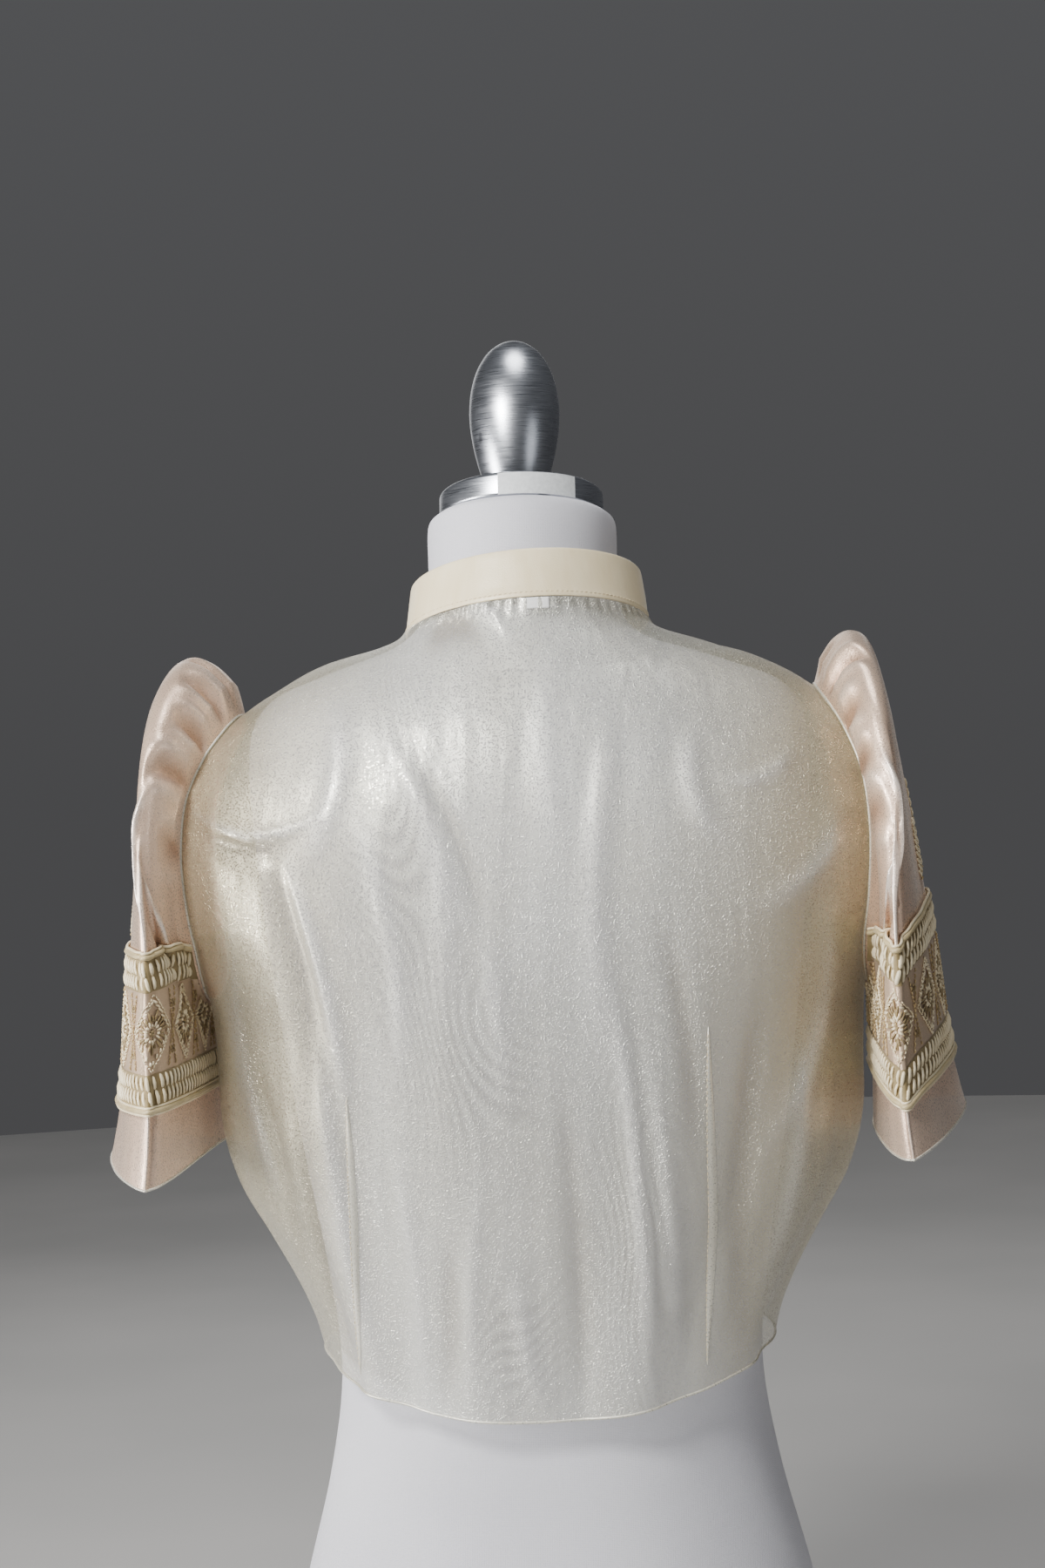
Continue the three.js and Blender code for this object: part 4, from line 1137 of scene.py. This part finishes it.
class Embroidery:
    """Stitches laid on a band. Places are in repeats round it and in shares down it."""

    def __init__(self, surface, seed):
        self.surface = surface
        self.stitches = []
        self.random = np.random.default_rng(seed)

    def stitch(self, u1, w1, u2, w2, kind, width=1.5, height=1.1):
        jitter = self.random.normal(0, 0.0028, 4)
        middle = self.surface.crease + BAND["past_crease"]
        distance = middle + (np.array([u1, u2]) - 0.5 + jitter[:2]) * BAND["repeat"]
        w = np.array([w1, w2]) + jitter[2:]
        girth = width * self.random.uniform(0.82, 1.18)
        if not self.surface.inside(distance, w).all():
            return
        ends, outward = self.surface.at(distance, w, ABOVE_NET["stitch"])
        self.stitches.append((ends[0], ends[1], outward[0] + outward[1], girth, height, kind))

    def row_of_slants(self, start, w):
        """One repeat of a row of slanted satin stitches."""
        tall, lean = SLANTED["tall"], SLANTED["lean"]
        for n in range(SLANTED["count"]):
            u = start + (n + 0.5) / SLANTED["count"]
            ends = u - lean / 2, w - tall / 2, u + lean / 2, w + tall / 2
            self.stitch(*ends, CREAM, SLANTED["width"], 1.5)

    def line(self, u1, w1, u2, w2, count, kind, width=1.2, slant=0.0):
        """A line of small stitches, each slanted across the line by slant repeats."""
        for n in range(count):
            a, b = n / count, (n + 0.86) / count
            first = lerp(u1, u2, a) - slant, lerp(w1, w2, a)
            second = lerp(u1, u2, b) + slant, lerp(w1, w2, b)
            self.stitch(*first, *second, kind, width)

    def lozenge(self, u, w, half_u, half_w, per_side, kind, width, slant=0.0):
        corners = [(u, w - half_w), (u + half_u, w), (u, w + half_w), (u - half_u, w), (u, w - half_w)]
        for (u1, w1), (u2, w2) in zip(corners, corners[1:]):
            self.line(u1, w1, u2, w2, per_side, kind, width, slant)

    def rays(self, u, w, inner, outer, count, kind, width):
        """Short stitches that point away from a centre, as a stepped edge."""
        ratio = BAND["repeat"] / self.surface.height
        for n in range(count):
            a = TURN * (n + 0.5) / count
            reach = outer * (1.18 if n % 2 else 0.92)
            du, dw = math.cos(a), math.sin(a) * ratio
            self.stitch(u + du * inner, w + dw * inner, u + du * reach, w + dw * reach, kind, width)


# Rows of long slanted stitches: share down the band, and whether a row is set half a stitch aside.
SLANTED_ROWS = ((0.105, 0), (0.195, 1), (0.805, 0), (0.895, 1))
SLANTED = {"count": 8, "width": 2.6, "tall": 0.088, "lean": 0.055}


def embroider_repeat(e, start):
    """One repeat: slanted rows above and below, a lozenge with an eye, and crossed lines between."""
    for w, aside in SLANTED_ROWS:
        e.row_of_slants(start + aside * 0.5 / SLANTED["count"], w)
    middle = start + 0.5
    e.lozenge(middle, 0.5, 0.42, 0.235, 13, CREAM, 0.8)
    e.lozenge(middle, 0.5, 0.36, 0.2, 6, CREAM, 1.5, slant=0.022)
    e.rays(middle, 0.5, 0.155, 0.275, 22, DARK, 1.5)
    e.rays(middle, 0.5, 0.09, 0.15, 14, CREAM, 1.6)
    e.rays(middle, 0.5, 0.0, 0.055, 7, DARK, 1.3)
    for reach in (0.12, -0.12):
        e.line(start - reach, 0.265, start + reach, 0.735, 15, GOLD, 0.75)
    for w in (0.36, 0.64):
        e.lozenge(start, w, 0.05, 0.02, 2, DARK, 1.0)


# The olive grounds under the slanted rows, kept dark as painted shade between the stitches: the first
# level of each, and the one it ends before.
BAND_GROUND_SHADES = {"upper": (2, 11), "lower": (30, 40)}
# Cords laid round the band: share down it and radius of each.
BAND_CORDS = {
    "piping": (CREAM_THREAD, ((0.008, 0.8), (0.952, 0.7), (0.995, 0.8))),
    "cords": (OLIVE_THREAD, ((0.034, 1.5), (0.975, 1.5))),
}


def add_band(name, side, seed):
    surface = BandSurface(side)
    net = sheet_object(f"{name}_net", surface.grid, BAND_CLOTH, flip=side > 0)
    declare(net, name, slot="embroidery")
    cords = []
    for word, (first, last) in BAND_GROUND_SHADES.items():
        strip = surface.grid[first:last] + surface.outward[first:last] * ABOVE_NET["ground"]
        ground = sheet_object(f"{name}_{word}_ground", strip, BAND_GROUND_SHADE, flip=side > 0)
        cords.append(declare(ground, slot="embroidery"))
    for suffix, (material, lines) in BAND_CORDS.items():
        tubes = [(surface.line(w, ABOVE_NET["cord"]), radius, False) for w, radius in lines]
        cord = tubes_object(f"{name}_{suffix}", tubes, material)
        cords.append(declare(cord, slot="embroidery"))
    work = Embroidery(surface, seed)
    past_middle = surface.crease + BAND["past_crease"]
    for n in range(-int((surface.reach[-1].max() + past_middle) / BAND["repeat"]) - 1, 5):
        embroider_repeat(work, n)
    stitches = stitches_object(f"{name}_stitches", work.stitches, THREADS)
    return net, [*cords, declare(stitches, slot="embroidery")]


# The rows between which each sleeve's spray lies, its pairs of leaves, how far they spread and where
# the stems stand, in degrees.
SPRAY = {1: (8.25, 7.55), -1: (8.1, 6.9), "leaves": 9, "span": 17, "lift": 0.9,
         "stems": (-24, 0, 24)}


def add_spray(name, side, seed):
    """The leafy spray above the band on the outer face: pairs of slanted stitches up a stem."""
    random = np.random.default_rng(seed)
    stitches = []

    def place(degrees, row):
        angle = np.radians(np.array([degrees - 0.5, degrees, degrees + 0.5]))
        a, r = np.meshgrid(angle, np.array([row - 0.02, row, row + 0.02]))
        points = sleeve_point(a, r, side)
        normal = grid_normals(points)[1, 1] * -side
        return points[1, 1] + normal * SPRAY["lift"], normal

    for centre in SPRAY["stems"]:
        for n in range(SPRAY["leaves"]):
            t = n / (SPRAY["leaves"] - 1)
            row = lerp(*SPRAY[side], t * (1.0 if centre == 0 else 0.62))
            share = 1.0 if centre == 0 else 0.55
            reach = SPRAY["span"] * (1 - 0.55 * t) * random.uniform(0.85, 1.1) * share
            for hand in (1, -1):
                start, outward = place(centre, row)
                end, _ = place(centre + hand * reach * 0.5, row - 0.16)
                stitches.append((start, end, outward, 2.0, 1.3, CREAM))
                inner, _ = place(centre + hand * reach * 0.16, row + 0.02)
                stitches.append((start, inner, outward, 1.1, 1.4, GOLD))
    declare(stitches_object(f"{name}_spray", stitches, THREADS[:2]), slot="embroidery")


# ---- Dress form and stand ------------------------------------------------------------------------
def add_form():
    """The stiff form under its jersey: one closed body with a softly rounded neck top and floor."""
    last = len(FORM_RINGS["half"]) - 1
    angle, row = np.meshgrid(np.arange(160) * TURN / 160, np.linspace(0, last, 150))
    points = ring_point(FORM_RINGS, angle, row, BUST["form"])
    top_centre = points[0].mean(axis=0)
    foot_centre = points[-1].mean(axis=0)
    caps_top = [top_centre + (points[0] - top_centre) * k for k in (0.5, 0.9)]
    caps_foot = [foot_centre + (points[-1] - foot_centre) * k for k in (0.9, 0.5)]
    rings = np.concatenate([np.array(caps_top), points, np.array(caps_foot)])
    rows, columns = rings.shape[:2]
    faces = capped(grid_faces(rows, columns, closed=True), rows, columns)
    all_points = np.concatenate([rings.reshape(-1, 3), [top_centre], [foot_centre]])
    piece = new_object("form_jersey", all_points, faces, [FORM_JERSEY])
    declare(piece, "form_torso", slot="form_jersey")


def neck_frame():
    """Turns points from the neck top's own frame into the row frame."""
    rise = FORM_RINGS["zb"][0] - FORM_RINGS["zs"][0]
    run = FORM_RINGS["yb"][0] - FORM_RINGS["ys"][0]
    tilt = math.atan(rise / run)
    turn = np.array(Matrix.Rotation(tilt, 3, "X"))
    centre = np.array([0, FORM_RINGS["ys"][0], FORM_RINGS["zs"][0]])
    return lambda points: points @ turn.T + centre


TAPE = {"start": 79, "end": 135, "inset": 1.2, "lift": 0.15}
# The knob's outline: radius and height.
FINIAL_EGG = [(0, 0), (14.5, 0), (17, 4), (20.7, 14), (24, 27), (26, 40), (26.5, 51), (25.3, 64),
              (21.8, 76), (15.8, 86), (8.2, 92), (0, 94)]


def add_neck_pieces():
    place = neck_frame()
    radius, height, edge = NECK_CAP["radius"], NECK_CAP["height"], NECK_CAP["edge"]
    foot = SEAM_GAP
    cap = [(0, foot), (radius - edge, foot), (radius, foot + edge), (radius, foot + height - edge),
           (radius - edge, foot + height), (0, foot + height)]
    piece = lathe_object("neck_disc", rounded(cap, 1.2), CAP_METAL, place=place)
    declare(piece, "neck_cap", slot="cap_metal")
    base = foot + height + SEAM_GAP
    egg = [(r, base + h) for r, h in FINIAL_EGG]
    piece = lathe_object("egg_finial", rounded(egg, 9, 5), CAP_METAL, segments=80,
                         place=lambda p: place(p + np.array([FINIAL_ASIDE, 0, 0])))
    declare(piece, "finial", slot="cap_metal")
    angle, up = np.meshgrid(np.radians(np.linspace(TAPE["start"], TAPE["end"], 40)),
                            np.linspace(foot + TAPE["inset"], foot + height - TAPE["inset"], 6))
    out = radius + TAPE["lift"]
    points = np.stack([out * np.cos(angle), out * np.sin(angle), up], axis=-1)
    piece = sheet_object("blank_tape", place(points), TAPE_PAPER)
    declare(piece, slot="label_tape")


def add_stand():
    radius, height, edge = BASE_PLATE["radius"], BASE_PLATE["height"], BASE_PLATE["edge"]
    plate = [(0, 0), (radius, 0), (radius, height - edge), (radius - edge, height), (0, height)]
    piece = lathe_object("stand_plate", rounded(plate, 2), STAND_METAL, segments=144)
    declare(piece, "base_plate", slot="stand_metal")
    foot = height + SEAM_GAP
    top = TORSO_FLOOR - SEAM_GAP
    shaft, flange = POST["radius"], POST["flange"]
    under = top - POST["flange_height"]
    post = [(0, foot), (shaft * 2, foot), (shaft * 2, foot + 4), (shaft, foot + 8), (shaft, under),
            (flange, under), (flange, top), (0, top)]
    piece = lathe_object("stand_post", rounded(post, 1.5), STAND_METAL)
    declare(piece, "post", slot="stand_metal")


# ---- Camera, light and floor ---------------------------------------------------------------------
CAMERA = {"distance": 1.5, "height": 0.6775, "yaw": 5.0, "roll": 2.17, "aside": 0.004, "lens": 60}


def matrix_of(x_axis, y_axis, z_axis, place):
    return Matrix([[x_axis[i], y_axis[i], z_axis[i], place[i]] for i in range(3)] + [[0, 0, 0, 1]])


def add_camera():
    """Behind the form at shoulder height, turned and rolled a little."""
    yaw, roll = math.radians(CAMERA["yaw"]), math.radians(CAMERA["roll"])
    forward = np.array([math.sin(yaw), -math.cos(yaw), 0.0])
    right = np.array([-math.cos(yaw), -math.sin(yaw), 0.0])
    place = -forward * CAMERA["distance"] - right * CAMERA["aside"] + UP * CAMERA["height"]
    across = right * math.cos(roll) - UP * math.sin(roll)
    over = right * math.sin(roll) + UP * math.cos(roll)
    data = bpy.data.cameras.new("camera")
    data.lens = CAMERA["lens"]
    data.sensor_width = 36
    data.clip_start = 0.05
    camera = bpy.data.objects.new("camera", data)
    camera.matrix_world = matrix_of(across, over, -forward, place)
    bpy.context.scene.collection.objects.link(camera)
    bpy.context.scene.camera = camera


# Soft lights: place, size, power and colour. Each is aimed at AIM, in the middle of the back.
LIGHTS = [
    dict(name="key", place=(0.75, 1.3, 1.5), size=0.5, power=25, color=(1, 0.99, 0.97)),
    dict(name="side", place=(1.35, 0.6, 0.62), size=0.6, power=17, color=(1, 0.99, 0.98)),
    dict(name="fill", place=(-1.4, 1.1, 0.9), size=0.8, power=2, color=(0.96, 0.98, 1)),
    dict(name="top", place=(-0.1, 0.3, 2.1), size=0.7, power=7, color=(1, 1, 1)),
    dict(name="front", place=(0.5, -1.9, 1.4), size=1.4, power=4.5, color=(1, 0.99, 0.97)),
]
AIM = np.array([0, 0, 0.62])
BACKDROP = {"low": (0.3, 0.3, 0.31), "high": (0.5, 0.51, 0.53), "strength": 0.28}


def add_light(name, place, size, power, color):
    data = bpy.data.lights.new(name, "AREA")
    data.shape = "DISK"
    data.size = size
    data.energy = power
    data.color = color
    light = bpy.data.objects.new(name, data)
    back = unit(np.array(place) - AIM)
    right = unit(np.cross(UP, back + np.array([0, 1e-4, 0])))
    up = np.cross(back, right)
    light.matrix_world = matrix_of(right, up, back, place)
    bpy.context.scene.collection.objects.link(light)


def add_world(low, high, strength):
    """A grey backdrop that is a little lighter overhead."""
    world = bpy.data.worlds.new("studio")
    bpy.context.scene.world = world
    world.use_nodes = True
    tree = world.node_tree
    background = tree.nodes["Background"]
    background.inputs["Strength"].default_value = strength
    place = tree.nodes.new("ShaderNodeTexCoord")
    parts = tree.nodes.new("ShaderNodeSeparateXYZ")
    ramp = tree.nodes.new("ShaderNodeValToRGB")
    tree.links.new(place.outputs["Generated"], parts.inputs[0])
    tree.links.new(parts.outputs["Z"], ramp.inputs[0])
    ramp.color_ramp.elements[0].color = (*low, 1)
    ramp.color_ramp.elements[1].color = (*high, 1)
    tree.links.new(ramp.outputs["Color"], background.inputs["Color"])


FLOOR_SLAB = {"radius": 4000, "underside": -8, "top": -0.2}


def add_floor():
    radius, underside, top = FLOOR_SLAB["radius"], FLOOR_SLAB["underside"], FLOOR_SLAB["top"]
    slab = [(0, underside), (radius, underside), (radius, top), (0, top)]
    lathe_object("floor", slab, FLOOR, segments=64)


# ---- The whole scene -----------------------------------------------------------------------------
def main():
    add_camera()
    for light in LIGHTS:
        add_light(**light)
    bpy.context.scene.view_settings.look = "AgX - Medium High Contrast"
    add_world(**BACKDROP)
    add_floor()
    add_form()
    add_neck_pieces()
    add_stand()
    back = add_back()
    add_body_edges()
    darts = add_darts()
    for name, side in (("front_left", 1), ("front_right", -1)):
        front = add_front(name, side)
    add_collar()
    add_collar_stitches()
    add_label()
    for word, side in (("left", 1), ("right", -1)):
        cloth, hem = add_sleeve(f"sleeve_{word}", side)
        net, work = add_band(f"band_{word}", side, seed=7 + side)
        add_spray(f"band_{word}", side, seed=17 + side)


main()
